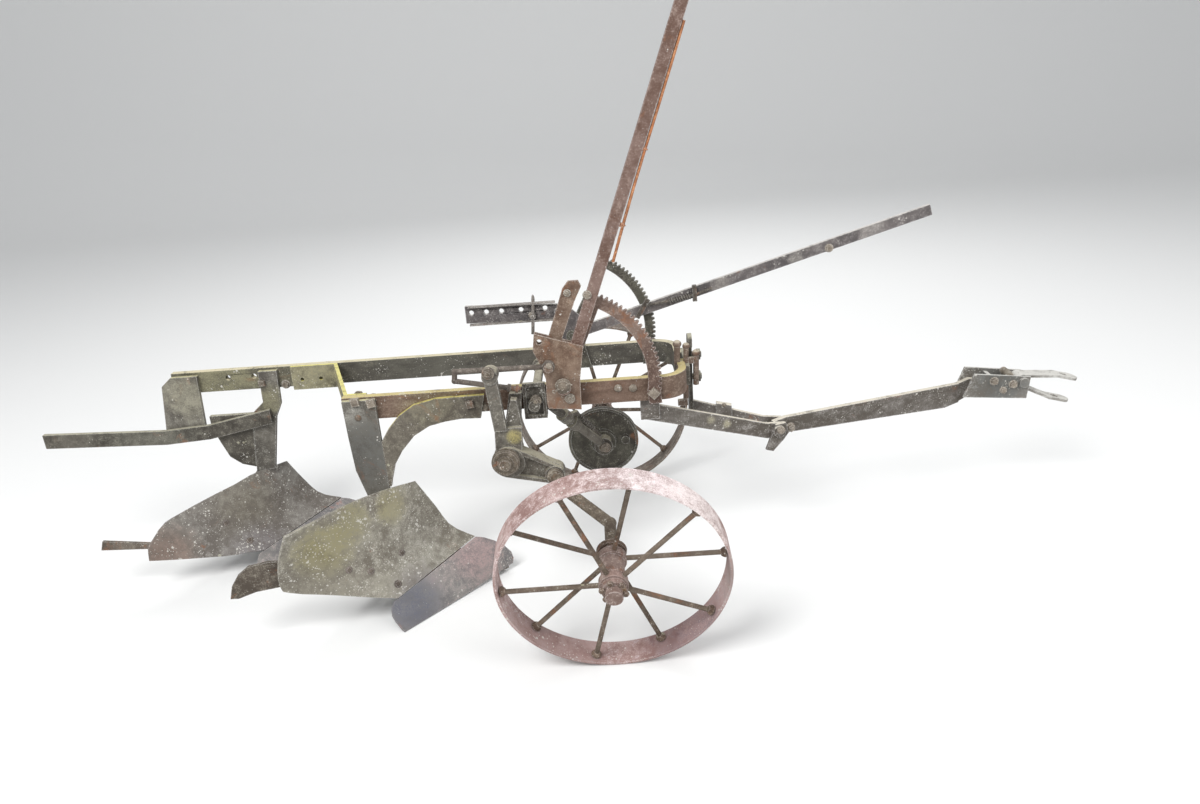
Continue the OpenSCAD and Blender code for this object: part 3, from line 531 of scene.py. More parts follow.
def ring(bm, centre, axis, radius, wire, sides=24):
    """An eye: a closed ring of round rod"""
    axis = Vector(axis).normalized()
    x = axis.orthogonal().normalized()
    y = axis.cross(x)
    loops = []
    for i in range(sides):
        a = 2 * math.pi * i / sides
        out = math.cos(a) * x + math.sin(a) * y
        loops.append([bm.verts.new(Vector(centre) + out * (radius + wire / 2 * math.cos(t))
                                   + axis * (wire / 2 * math.sin(t)))
                      for t in (2 * math.pi * k / 8 for k in range(8))])
    for i in range(sides):
        for k in range(8):
            j, m = (i + 1) % sides, (k + 1) % 8
            bm.faces.new((loops[i][k], loops[i][m], loops[j][m], loops[j][k]))


def head(fittings, kind, point, normal, node, across, depth=0.0, spin=0.0):
    """One fastener on a solid, with its nut behind where a depth to look behind is given"""
    bm = fittings.on(BODY_OF[node])
    if kind == "square":
        prism_head(bm, point, normal, across, across * 0.42, 4, math.pi / 4 + spin)
    elif kind == "hexagon":
        washer(bm, point, normal, across * 0.68, across * 0.1)
        prism_head(bm, point + normal * across * 0.1, normal, across, across * 0.42, 6, 0.3 + spin)
    elif kind == "nut":
        nut_on_thread(bm, point, normal, across, 0.3 + spin)
    elif kind == "round":
        round_head(bm, point, normal, across, across * 0.32)
    elif kind == "flush":
        round_head(bm, point, normal, across, 0.0022)
        prism_head(bm, point, normal, across * 0.5, 0.0032, 4, math.pi / 4 + spin)
    elif kind == "collar":
        lathe(bm, point, normal, [(0, -0.001), (across / 2, -0.001), (across / 2, across * 0.16),
                                  (across * 0.44, across * 0.22), (across * 0.28, across * 0.22),
                                  (across * 0.26, across * 0.34), (across * 0.20, across * 0.40),
                                  (0, across * 0.40)], 28)
    if depth > 0:
        behind = strike(point - normal * depth, normal, [n for n in SOLIDS if BODY_OF[n] == BODY_OF[node]], depth)
        if behind and (behind[0] - point).length > 0.004:
            nut_on_thread(fittings.on(BODY_OF[behind[2]]), behind[0], -normal, across * 0.9, spin)


# Fasteners by the pixel of the photo that they show at: u, v, kind, share of the bolt size, depth, spin
BEAM_HEADS = (
    (355, 402, "square", 1.0, 0.07, 0.1), (371, 403, "square", 1.0, 0.07, 0.2),
    (358, 418, "round", 0.8, 0.0, 0.0), (484, 407, "round", 1.1, 0.07, 0.0),
    (470, 404, "square", 0.9, 0.07, 0.15), (618, 388, "round", 0.95, 0.06, 0.0),
    (633, 388, "round", 0.95, 0.06, 0.0), (654, 393, "square", 1.1, 0.06, 0.785),
    (286, 384, "hexagon", 0.9, 0.07, 0.1), (262, 383, "square", 0.8, 0.07, 0.0),
)
BOARD_HEADS = (
    (398, 584, "flush", 1.0, 0.05, 0.2), (349, 570, "flush", 0.9, 0.05, 0.5),
    (371, 571, "flush", 0.9, 0.05, 0.1), (402, 553, "flush", 0.9, 0.05, 0.3),
    (250, 540, "flush", 1.0, 0.05, 0.3), (226, 523, "flush", 0.9, 0.05, 0.1),
)
LEVER_HEADS = (
    (587, 295, "hexagon", 1.05, 0.0, 0.0), (567, 293, "hexagon", 0.9, 0.0, 0.2),
    (549, 366, "round", 1.0, 0.0, 0.0), (570, 398, "collar", 1.7, 0.0, 0.0),
    (829, 248, "hexagon", 1.1, 0.03, 0.1), (532, 315, "hexagon", 0.9, 0.0, 0.4),
)
DRAWBAR_HEADS = (
    (994, 381, "hexagon", 1.2, 0.0, 0.1), (1003, 390, "hexagon", 1.0, 0.0, 0.3),
    (1013, 384, "hexagon", 1.2, 0.0, 0.2), (790, 427, "nut", 1.3, 0.0, 0.2),
    (724, 405, "round", 0.8, 0.0, 0.0), (781, 430, "collar", 1.4, 0.0, 0.0),
)


class PLOUGH_OT_bolts(bpy.types.Operator):
    """Bolt heads, nuts and flush board bolts where the photo shows them"""
    bl_idname = "plough.bolts"
    bl_label = "Bolts and nuts"

    def execute(self, context):
        sizes = context.scene.plough_sizes
        pale = weathered("bolt_iron", ink(92, 84, 74), ink(132, 122, 110), ink(176, 168, 154),
                         0.35, 0.3, 0.5, 0.6, 31.0, edge_highlight_and_wear=0.7)
        brown = weathered("board_bolt", ink(70, 62, 56), ink(98, 88, 80), ink(134, 124, 114),
                          0.35, 0.15, 0.3, 0.4, 32.0, edge_highlight_and_wear=0.6)
        groups = (("beam_bolts", BEAM_HEADS, pale, "near_beam_steel", sizes.bolt_across),
                  ("board_bolts", BOARD_HEADS, brown, "body_iron", sizes.bolt_across),
                  ("lever_bolts", LEVER_HEADS, pale, "near_lever_steel", sizes.small_bolt),
                  ("drawbar_bolts", DRAWBAR_HEADS, pale, "drawbar_steel", sizes.small_bolt))
        for name, rows, finish, slot, across in groups:
            fittings = Fittings(name, finish, slot)
            for u, v, kind, share, depth, spin in rows:
                point, normal, node = seat(u, v)
                head(fittings, kind, point, normal, node, across * share, depth, spin)
            fittings.place()
        self.side_bolts(pale, sizes)
        return {"FINISHED"}

    def side_bolts(self, finish, sizes):
        """Bolts of the landsides and the far beam, spaced along each piece's own length"""
        fittings = Fittings("side_bolts", finish, "body_iron")
        for node, side, places, height in (
                ("front_landside", LAND_SIDE, (0.25, 0.42, 0.72), 0.5),
                ("rear_landside", LAND_SIDE, (0.25, 0.42, 0.72), 0.5),
                ("far_beam", LAND_SIDE, (0.115, 0.145, 0.50, 0.53), 0.55)):
            low, high = [Vector(c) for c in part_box(node)]
            for share in places:
                start = Vector((low.x + (high.x - low.x) * share, 0, low.z + (high.z - low.z) * height))
                start.y = high.y + 0.05 if side.y > 0 else low.y - 0.05
                found = strike(start, -side, [node], 0.3)
                if found:
                    head(fittings, "square", found[0], found[1], node, sizes.small_bolt, 0.0, 0.2)
        fittings.place()


class PLOUGH_OT_bosses(bpy.types.Operator):
    """Round bosses, pins and split pins of the cranks and levers"""
    bl_idname = "plough.bosses"
    bl_label = "Bosses and pins"

    def execute(self, context):
        finish = weathered("boss_iron", ink(76, 68, 58), ink(116, 106, 94), ink(162, 152, 136),
                           0.35, 0.35, 0.5, 0.5, 33.0, edge_highlight_and_wear=0.7)
        fittings = Fittings("bosses", finish, "cast_grey")
        for u, v, across, node in ((506, 461, 0.085, "crank_hanger"), (488, 373, 0.038, "bell_crank"),
                                   (536, 400, 0.036, "crank_bracket"), (606, 447, 0.034, "land_axle")):
            point, _, found = seat(u, v, [node])
            head(fittings, "collar", point + FURROW_SIDE * 0.001, FURROW_SIDE, found, across)
        point, normal, node = seat(563, 386)
        bm = fittings.on(BODY_OF[node])
        washer(bm, point, FURROW_SIDE, 0.024, 0.004)
        round_head(bm, point + FURROW_SIDE * 0.004, FURROW_SIDE, 0.032, 0.012)
        pin = point + FURROW_SIDE * 0.010
        tube(bm, [pin + Vector((-0.022, 0, -0.010)), pin, pin + Vector((0.020, 0, 0.010)),
                  pin + Vector((0.028, -0.004, 0.006))], 0.0022, 8)
        ring(bm, pin + Vector((-0.027, 0, -0.012)), FURROW_SIDE, 0.005, 0.003, 14)
        fittings.place()
        return {"FINISHED"}


# The near latch rod beside its lever's front edge, by the pixels that it passes
LATCH_ROUTE = ((613, 262), (623, 225), (634, 186), (645, 149), (657, 110), (671, 64), (684, 20))


class PLOUGH_OT_latches(bpy.types.Operator):
    """Latch rods along the levers, with their eyes, dogs and springs"""
    bl_idname = "plough.latches"
    bl_label = "Latch rods"

    def execute(self, context):
        sizes = context.scene.plough_sizes
        orange = weathered("latch_rust", ink(120, 74, 46), ink(168, 112, 74), ink(204, 152, 112),
                           0.5, 0.15, 0.3, 0.3, 34.0, rust_colour=ink(176, 106, 62), edge_highlight_and_wear=0.6)
        grey = weathered("spring_steel", ink(66, 60, 54), ink(102, 96, 88), ink(150, 144, 134),
                         0.35, 0.3, 0.4, 0.5, 35.0, edge_highlight_and_wear=0.6)
        near_plane = seat(606, 258, ["near_lever"])[0].y + 0.007
        rod = Fittings("near_latch", orange, "near_lever_steel")
        bm = rod.on("near_lever")
        route = [on_plane(u, v, near_plane) for u, v in LATCH_ROUTE]
        tube(bm, route, sizes.rod / 2)
        for point in (route[1], route[3]):
            ring(bm, point, route[3] - route[1], sizes.rod * 0.62, 0.005, 18)
            bar(bm, point, point + Vector((-0.016, 0, 0.004)), 0.012, 0.006, FURROW_SIDE)
        rod.place()

        far = Fittings("far_latch", grey, "far_lever_steel")
        bm = far.on("far_lever")
        plane = seat(700, 290, ["far_lever"])[0].y - 0.010
        line = [on_plane(u, v, plane) for u, v in ((647, 305), (668, 301), (694, 295), (712, 288))]
        tube(bm, line, sizes.rod / 2)
        spring(bm, on_plane(669, 301, plane), on_plane(691, 296, plane), 0.009, sizes.spring_wire, 9)
        bar(bm, on_plane(694, 285, plane), on_plane(695, 301, plane), 0.014, 0.012, FURROW_SIDE)
        bar(bm, on_plane(648, 299, plane), on_plane(637, 318, plane), 0.016, 0.006, FURROW_SIDE)
        far.place()

        trip = Fittings("trip_rod", grey, "cast_grey")
        bm = trip.on("plough_frame")
        plane = seat(590, 435, ["land_crank"])[0].y - 0.030
        ends = [on_plane(u, v, plane) for u, v in ((572, 408), (586, 421), (601, 436))]
        tube(bm, ends, sizes.rod * 0.4)
        spring(bm, ends[0] + (ends[2] - ends[0]) * 0.25, ends[0] + (ends[2] - ends[0]) * 0.75, 0.008,
               sizes.spring_wire, 8)
        trip.place()
        return {"FINISHED"}


class PLOUGH_OT_link_channel(bpy.types.Operator):
    """Flanges of the far link's channel and the pin through it"""
    bl_idname = "plough.link_channel"
    bl_label = "Link channel"

    def execute(self, context):
        finish = weathered("channel_steel", ink(88, 82, 76), ink(122, 116, 110), ink(170, 164, 158),
                           0.3, 0.45, 0.8, 0.6, 36.0, edge_highlight_and_wear=0.8)
        fittings = Fittings("link_channel", finish, "far_lever_steel")
        bm = fittings.on("far_link")
        low, high = [Vector(c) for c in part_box("far_link")]
        wall, reach = 0.005, 0.014
        for z in (low.z + wall / 2, high.z - wall / 2):
            bar(bm, (low.x + 0.012, low.y - reach / 2 + 0.001, z), (high.x - 0.030, low.y - reach / 2 + 0.001, z),
                reach, wall, UP)
        top, bottom = on_plane(533, 299, low.y - 0.007), on_plane(533, 334, low.y - 0.007)
        top.z = high.z + 0.014
        tube(bm, [bottom, bottom.lerp(top, 0.5), top], 0.0055)
        lathe(bm, top, UP, [(0, 0), (0.0055, 0), (0.004, 0.008), (0, 0.013)], 12)
        nut = bottom.lerp(top, 0.45)
        prism_head(bm, nut, UP, 0.018, 0.010, 6, 0.2)
        fittings.place()
        return {"FINISHED"}


# Upright clamp rods in front of the beams' bend: u, v at the top, v at the foot, diameter, knob on top
CLAMP_RODS = ((677, 344, 364, 0.020, True), (686, 346, 398, 0.017, True), (696, 353, 384, 0.019, True))


class PLOUGH_OT_clamp_rods(bpy.types.Operator):
    """Upright rods and knobs of the drawbar clamp at the front of the beams"""
    bl_idname = "plough.clamp_rods"
    bl_label = "Clamp rods"

    def execute(self, context):
        finish = weathered("clamp_iron", ink(84, 68, 58), ink(122, 106, 94), ink(168, 156, 142),
                           0.4, 0.25, 0.5, 0.5, 39.0, edge_highlight_and_wear=0.9, painted_top_light=(176, 166, 148))
        fittings = Fittings("clamp_rods", finish, "dark_steel")
        bm = fittings.on("plough_frame")
        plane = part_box("drawbar_clamp")[0][1] - 0.012
        for u, top, foot, across, knob in CLAMP_RODS:
            high, low = on_plane(u, top, plane), on_plane(u, foot, plane)
            tube(bm, [low, low.lerp(high, 0.5), high], across / 2, 14)
            if knob:
                r = across * 0.72
                lathe(bm, high - UP * r * 0.6, UP, [(0, 0), (r * 0.8, 0.001), (r, r * 0.5), (r * 0.9, r),
                                                    (r * 0.5, r * 1.4), (0, r * 1.5)], 16)
        for u, v in ((681, 366), (690, 360), (683, 402)):
            centre = on_plane(u, v, plane)
            bar(bm, centre - Vector((0.016, 0, 0)), centre + Vector((0.016, 0, 0)), 0.020, 0.012, FURROW_SIDE)
        fittings.place()
        return {"FINISHED"}


class PLOUGH_OT_wheel_fittings(bpy.types.Operator):
    """Bolt rings on the hubs, a dished guard at each hub and the shoulders of both wheels' spokes"""
    bl_idname = "plough.wheel_fittings"
    bl_label = "Wheel fittings"

    def execute(self, context):
        brown = weathered("hub_fittings", ink(74, 58, 48), ink(112, 96, 84), ink(158, 142, 124),
                          0.5, 0.25, 0.4, 0.4, 37.0, edge_highlight_and_wear=0.7)
        for wheel in ("near", "land"):
            joints = frame["record"]["behaviour"]["joints"]
            joint = next(j for j in joints if j["name"] == f"{wheel}_wheel_turn")
            axis = Vector(joint["axis"]).normalized()
            centre = Vector(joint["pos_m"])
            fittings = Fittings(f"{wheel}_hub_fittings", brown, "hub_iron")
            bm = fittings.on(f"{wheel}_wheel")
            hub = [v.co for v in frame["nodes"][f"{wheel}_hub"].data.vertices]
            along = [(p - centre).dot(axis) for p in hub]
            flange = max((p - centre - axis * (p - centre).dot(axis)).length for p in hub)
            for side, end in ((1, max(along)), (-1, min(along))):
                for k in range(6):
                    a = 2 * math.pi * k / 6
                    x = axis.orthogonal().normalized()
                    out = math.cos(a) * x + math.sin(a) * axis.cross(x)
                    start = centre + out * flange * 0.80 + axis * (end + side * 0.05)
                    found = strike(start, -axis * side, [f"{wheel}_hub"], 0.2)
                    if found:
                        prism_head(bm, found[0], axis * side, 0.016, 0.007, 6, a)
            self.dish(bm, centre, axis, min(along) if wheel == "land" else max(along), flange)
            rim = frame["nodes"][f"{wheel}_rim"].data.vertices
            rim_radius = max((v.co - centre - axis * (v.co - centre).dot(axis)).length for v in rim)
            self.spoke_ends(bm, wheel, centre, axis, rim_radius)
            fittings.place()
        return {"FINISHED"}

    def dish(self, bm, centre, axis, end, flange):
        """A shallow dished guard round the hub's inner end"""
        side = 1 if end > 0 else -1
        base = centre + axis * (end - side * 0.006)
        wide, wall = flange * 1.02, 0.004
        lathe(bm, base, axis * side, [(flange * 0.72, 0), (wide, 0.004), (wide * 1.05, 0.016),
                                      (wide * 1.05 - wall, 0.016), (wide - wall, 0.008),
                                      (flange * 0.72, 0.004), (flange * 0.72, 0)], 32)

    def spoke_ends(self, bm, wheel, centre, axis, rim_radius):
        """A shoulder on each spoke inside the rim, found from the spokes' own outer ends"""
        spokes = frame["nodes"][f"{wheel}_spokes"].data
        groups = {}
        x = axis.orthogonal().normalized()
        y = axis.cross(x)
        for vertex in spokes.vertices:
            arm = vertex.co - centre
            flat = arm - axis * arm.dot(axis)
            if flat.length > rim_radius * 0.93:
                turn = math.atan2(flat.dot(y), flat.dot(x))
                groups.setdefault(round(turn / math.radians(18)) % 20, []).append(vertex.co)
        for ends in groups.values():
            tip = sum(ends, Vector()) / len(ends)
            arm = tip - centre
            out = (arm - axis * arm.dot(axis)).normalized()
            base = tip - out * 0.014
            lathe(bm, base, out, [(0, -0.004), (0.009, -0.004), (0.0145, 0.004), (0.0145, 0.010), (0, 0.010)], 16)


class PLOUGH_OT_hitch_fittings(bpy.types.Operator):
    """Spacer at the drawbar's head"""
    bl_idname = "plough.hitch_fittings"
    bl_label = "Hitch fittings"

    def execute(self, context):
        finish = weathered("hitch_spacer", ink(104, 96, 84), ink(150, 142, 130), ink(196, 190, 180),
                           0.3, 0.3, 0.4, 0.8, 38.0, edge_highlight_and_wear=0.8)
        fittings = Fittings("hitch_spacer", finish, "hitch_steel")
        bm = fittings.on("plough_frame")
        point = seat(1003, 370, ["hitch_head"])[0]
        inner = strike(point + Vector((0, -0.004, 0)), FURROW_SIDE, ["hitch_head"], 0.2)
        if inner:
            lathe(bm, point, FURROW_SIDE, [(0, 0), (0.013, 0), (0.013, (inner[0] - point).length),
                                           (0, (inner[0] - point).length)], 18)
        fittings.place()
        return {"FINISHED"}


# Finishes of the CAD nodes: name, nodes, dark, mid and light tones, then how much of each wear and of the painted
# top light and edge highlight
FRAME_FINISHES = (
    ("lichen_beam", ("far_beam",), (58, 55, 50), (86, 83, 76), (126, 123, 110),
     dict(rust=0.25, lichen=0.40, top=0.7, specks=0.9, seed=1.0, stretch=(0.4, 1, 1), edge_highlight_and_wear=0.8,
          painted_top_light=(196, 187, 158))),
    ("lichen_brace", ("beam_brace",), (82, 78, 64), (122, 118, 102), (160, 156, 132),
     dict(rust=0.2, lichen=0.6, top=0.6, specks=0.6, seed=1.6, edge_highlight_and_wear=0.8, painted_top_light=(202, 194, 122))),
    ("red_beam", ("near_beam",), (84, 66, 54), (116, 98, 86), (150, 134, 118),
     dict(rust=0.5, lichen=0.25, top=0.9, specks=0.5, seed=2.0, stretch=(0.4, 1, 1), edge_highlight_and_wear=0.8,
          painted_top_light=(186, 172, 122))),
    ("leg_steel", ("front_leg", "rear_leg", "tail_plate"), (76, 72, 66), (110, 106, 98), (144, 142, 134),
     dict(rust=0.35, lichen=0.3, top=0.7, specks=0.6, seed=3.0, edge_highlight_and_wear=1.0, painted_top_light=(180, 174, 140))),
    ("standard_iron", ("front_standard",), (74, 68, 60), (106, 100, 90), (142, 138, 122),
     dict(rust=0.35, lichen=0.35, top=0.8, specks=0.5, seed=4.0, edge_highlight_and_wear=1.0, painted_top_light=(196, 184, 108))),
    ("dark_bar", ("rear_standard", "tail_bar", "front_cross", "drawbar_clamp"), (58, 54, 48), (92, 88, 80),
     (132, 128, 116), dict(rust=0.3, lichen=0.3, top=0.7, specks=0.5, seed=5.0, edge_highlight_and_wear=0.9, painted_top_light=(160, 156, 138))),
    ("drawbar_steel", ("near_strap", "far_strap", "strap_joint", "tongue"), (80, 74, 67), (110, 105, 100),
     (158, 154, 149), dict(rust=0.35, lichen=0.2, top=0.5, specks=0.9, seed=6.0, stretch=(0.5, 1, 1), edge_highlight_and_wear=1.0,
          painted_top_light=(204, 197, 182))),
    ("hitch_steel", ("hitch_head", "hitch_clevis"), (98, 93, 86), (138, 134, 128), (200, 198, 192),
     dict(rust=0.3, lichen=0.2, top=0.4, specks=1.1, seed=7.0, edge_highlight_and_wear=1.0, painted_top_light=(196, 194, 188))),
)
BODY_FINISHES = (
    ("front_board_steel", ("front_moldboard",), (106, 100, 90), (146, 142, 130), (180, 176, 166),
     dict(rust=0.22, lichen=0.22, top=0.1, specks=1.6, seed=8.0, tint=(0.46, 0.45, 0.31), rough=0.62)),
    ("rear_board_steel", ("rear_moldboard",), (94, 88, 82), (124, 120, 114), (152, 148, 142),
     dict(rust=0.30, lichen=0.15, top=0.1, specks=1.4, seed=9.0, tint=(0.42, 0.41, 0.30), rough=0.62)),
    ("share_steel", ("front_share", "rear_share"), (104, 102, 102), (140, 136, 132), (180, 164, 160),
     dict(rust=0.30, lichen=0.05, top=0.1, specks=0.6, seed=10.0, rust_colour=(0.30, 0.17, 0.145), rough=0.6)),
    ("body_iron", ("front_tailpiece", "rear_tailpiece", "front_landside", "rear_landside", "front_frog",
                   "rear_frog", "front_strut", "rear_strut"), (70, 62, 54), (106, 98, 88), (142, 136, 124),
     dict(rust=0.45, lichen=0.3, top=0.5, specks=0.5, seed=11.0, edge_highlight_and_wear=0.8)),
)
CRANK_FINISHES = (
    ("grey_casting", ("crank_bracket", "crank_hanger", "bell_crank", "land_crank", "cross_shaft"),
     (66, 60, 54), (100, 96, 88), (152, 148, 138),
     dict(rust=0.35, lichen=0.25, top=0.6, specks=0.9, seed=12.0, edge_highlight_and_wear=1.0, painted_top_light=(158, 152, 134))),
    ("dark_casting", ("clutch_disc", "far_quadrant"), (58, 54, 48), (88, 86, 76), (128, 124, 112),
     dict(rust=0.35, lichen=0.25, top=0.5, specks=0.5, seed=13.0, edge_highlight_and_wear=1.0)),
    ("axle_steel", ("near_axle", "land_axle"), (76, 66, 56), (116, 106, 92), (168, 160, 146),
     dict(rust=0.45, lichen=0.3, top=0.6, specks=0.5, seed=14.0, edge_highlight_and_wear=0.6)),
    ("quadrant_rust", ("near_quadrant",), (84, 66, 58), (118, 100, 90), (158, 140, 128),
     dict(rust=0.5, lichen=0.2, top=0.5, specks=0.4, seed=15.0, edge_highlight_and_wear=1.0)),
)
WHEEL_FINISHES = (
    ("faded_rim", ("near_rim",), (132, 104, 98), (180, 156, 152), (222, 208, 206),
     dict(rust=0.34, lichen=0.0, top=0.0, specks=1.0, seed=16.0, tint=(0.70, 0.64, 0.63),
          rust_colour=(0.25, 0.13, 0.11), edge_highlight_and_wear=0.6)),
    ("land_rim_steel", ("land_rim",), (88, 78, 70), (124, 114, 104), (172, 166, 156),
     dict(rust=0.4, lichen=0.3, top=0.5, specks=0.5, seed=17.0, edge_highlight_and_wear=0.8)),
    ("spoke_steel", ("near_spokes", "land_spokes"), (80, 68, 58), (112, 100, 88), (150, 140, 126),
     dict(rust=0.45, lichen=0.25, top=0.5, specks=0.5, seed=18.0, edge_highlight_and_wear=0.5)),
    ("hub_iron", ("near_hub", "land_hub"), (104, 84, 76), (142, 124, 116), (176, 162, 154),
     dict(rust=0.5, lichen=0.2, top=0.4, specks=0.5, seed=19.0, edge_highlight_and_wear=0.8)),
)
LEVER_FINISHES = (
    ("lever_rust", ("near_lever",), (90, 68, 58), (120, 100, 92), (150, 132, 122),
     dict(rust=0.40, lichen=0.1, top=0.3, specks=0.4, seed=20.0, edge_highlight_and_wear=0.9)),
    ("lever_plate_rust", ("near_lever_plates",), (88, 68, 56), (124, 106, 92), (158, 142, 126),
     dict(rust=0.5, lichen=0.2, top=0.5, specks=0.4, seed=20.6, edge_highlight_and_wear=1.0)),
    ("link_rod", ("near_link",), (72, 64, 58), (108, 100, 92), (148, 140, 130),
     dict(rust=0.4, lichen=0.3, top=0.5, specks=0.4, seed=21.0, edge_highlight_and_wear=0.5)),
    ("far_lever_steel", ("far_lever", "far_lever_plate", "far_link"), (78, 74, 74), (108, 102, 100),
     (158, 154, 152), dict(rust=0.28, lichen=0.2, top=0.6, specks=0.8, seed=22.0, edge_highlight_and_wear=1.0,
                           painted_top_light=(188, 184, 178))),
)
# Colour patches by the pixel where each is centred: u, v, a radius in pixels, a colour and a strength
YELLOW = (156, 147, 96)
OLIVE = (134, 130, 102)
CHALK = (200, 197, 188)
COLOUR_PATCHES = {
    "lichen_beam": ((220, 374, 60, OLIVE, 0.8), (300, 368, 50, (140, 136, 112), 0.6),
                    (430, 355, 70, (92, 90, 82), 0.9), (520, 350, 60, (92, 89, 82), 0.9)),
    "lichen_brace": ((340, 392, 40, YELLOW, 0.8), (312, 374, 40, (150, 144, 112), 0.6)),
    "red_beam": ((600, 392, 70, (112, 90, 78), 0.6), (440, 394, 60, OLIVE, 0.4)),
    "leg_steel": ((268, 400, 24, OLIVE, 0.8), (186, 395, 34, (146, 142, 124), 0.8), (352, 415, 18, CHALK, 0.3),
                  (366, 452, 56, (88, 88, 85), 0.9)),
    "standard_iron": ((430, 402, 40, (126, 121, 100), 0.55),),
    "dark_bar": ((243, 412, 10, YELLOW, 0.8), (150, 432, 70, (112, 112, 102), 0.5)),
    "drawbar_steel": ((711, 420, 7, (186, 180, 152), 0.9), (727, 424, 7, (186, 180, 152), 0.9),
                      (860, 400, 80, (152, 151, 149), 0.8), (700, 420, 60, (112, 108, 102), 0.5)),
    "hitch_steel": ((1000, 382, 44, (84, 86, 84), 0.95), (1055, 374, 30, (190, 189, 184), 0.7)),
    "front_board_steel": ((322, 552, 44, (138, 131, 88), 0.8), (352, 520, 28, (138, 132, 92), 0.7),
                          (390, 506, 26, (144, 137, 96), 0.7), (420, 545, 50, (160, 157, 147), 0.6),
                          (320, 592, 50, (124, 119, 106), 0.7), (310, 492, 26, (104, 99, 86), 0.6),
                          (425, 592, 40, (112, 106, 110), 0.7)),
    "rear_board_steel": ((168, 555, 36, (122, 98, 86), 0.7), (245, 505, 50, (124, 118, 102), 0.5),
                         (260, 545, 40, (118, 113, 118), 0.5), (290, 475, 20, (136, 134, 128), 0.5)),
    "share_steel": ((476, 552, 40, (162, 138, 136), 0.8), (412, 604, 46, (92, 95, 106), 0.95),
                    (440, 570, 26, (150, 140, 136), 0.5)),
    "grey_casting": ((515, 437, 10, (176, 164, 104), 0.9), (488, 380, 22, (106, 101, 94), 0.5),
                     (530, 470, 40, (122, 117, 106), 0.5), (590, 430, 40, (112, 105, 95), 0.6)),
    # The rim is made pale high up and darker low down
    "faded_rim": ((650, 472, 100, (230, 219, 219), 0.9), (705, 512, 60, (232, 222, 219), 0.8),
                  (500, 560, 60, (142, 116, 108), 0.85), (730, 570, 44, (138, 126, 122), 0.85), (560, 650, 90, (124, 102, 98), 0.7),
                  (690, 640, 80, (104, 84, 88), 0.8)),
    "lever_plate_rust": ((560, 360, 30, (132, 110, 92), 0.5), (570, 405, 22, (112, 92, 78), 0.5)),
    "far_lever_steel": ((720, 284, 14, (160, 155, 147), 0.5), (795, 258, 12, (162, 158, 150), 0.5),
                        (870, 230, 16, (164, 160, 154), 0.5), (487, 311, 12, CHALK, 0.7)),
    "hub_iron": ((616, 575, 16, (150, 126, 118), 0.6), (626, 590, 8, (160, 130, 92), 0.7)),
}


def dress_all(rows):
    for name, nodes, dark, mid, light, wear in rows:
        spots = [colour_patch(*row) for row in COLOUR_PATCHES.get(name, ()) if strike(CAMERA_AT, pixel_line(*row[:2]))]
        dress(nodes, weathered(name, ink(*dark), ink(*mid), ink(*light), colour_patches=spots, **wear))


class PLOUGH_OT_frame_finishes(bpy.types.Operator):
    """Weathered finishes of beams, legs and drawbar"""
    bl_idname = "plough.frame_finishes"
    bl_label = "Frame finishes"

    def execute(self, context):
        dress_all(FRAME_FINISHES)
        return {"FINISHED"}


class PLOUGH_OT_body_finishes(bpy.types.Operator):
    """Worn boards, shares and the irons behind them"""
    bl_idname = "plough.body_finishes"
    bl_label = "Body finishes"

    def execute(self, context):
        dress_all(BODY_FINISHES)
        return {"FINISHED"}


class PLOUGH_OT_crank_finishes(bpy.types.Operator):
    """Rusted castings, cranks and axles"""
    bl_idname = "plough.crank_finishes"
    bl_label = "Crank finishes"

    def execute(self, context):
        dress_all(CRANK_FINISHES)
        return {"FINISHED"}


class PLOUGH_OT_wheel_finishes(bpy.types.Operator):
    """Faded rims, brown spokes and red hubs"""
    bl_idname = "plough.wheel_finishes"
    bl_label = "Wheel finishes"

    def execute(self, context):
        dress_all(WHEEL_FINISHES)
        return {"FINISHED"}


class PLOUGH_OT_lever_finishes(bpy.types.Operator):
    """Red and grey lever bars with their plates and links"""
    bl_idname = "plough.lever_finishes"
    bl_label = "Lever finishes"

    def execute(self, context):
        dress_all(LEVER_FINISHES)
        return {"FINISHED"}


# Lamps: name, place, disk size, watts
LAMPS = (("key_lamp", (-2.4, -3.6, 5.2), 3.2, 330), ("fill_lamp", (4.2, -3.0, 3.4), 3.6, 120),
         ("back_lamp", (0.8, 4.0, 4.6), 3.0, 120))
LAMP_AIM = Vector((0, 0, 0.4))


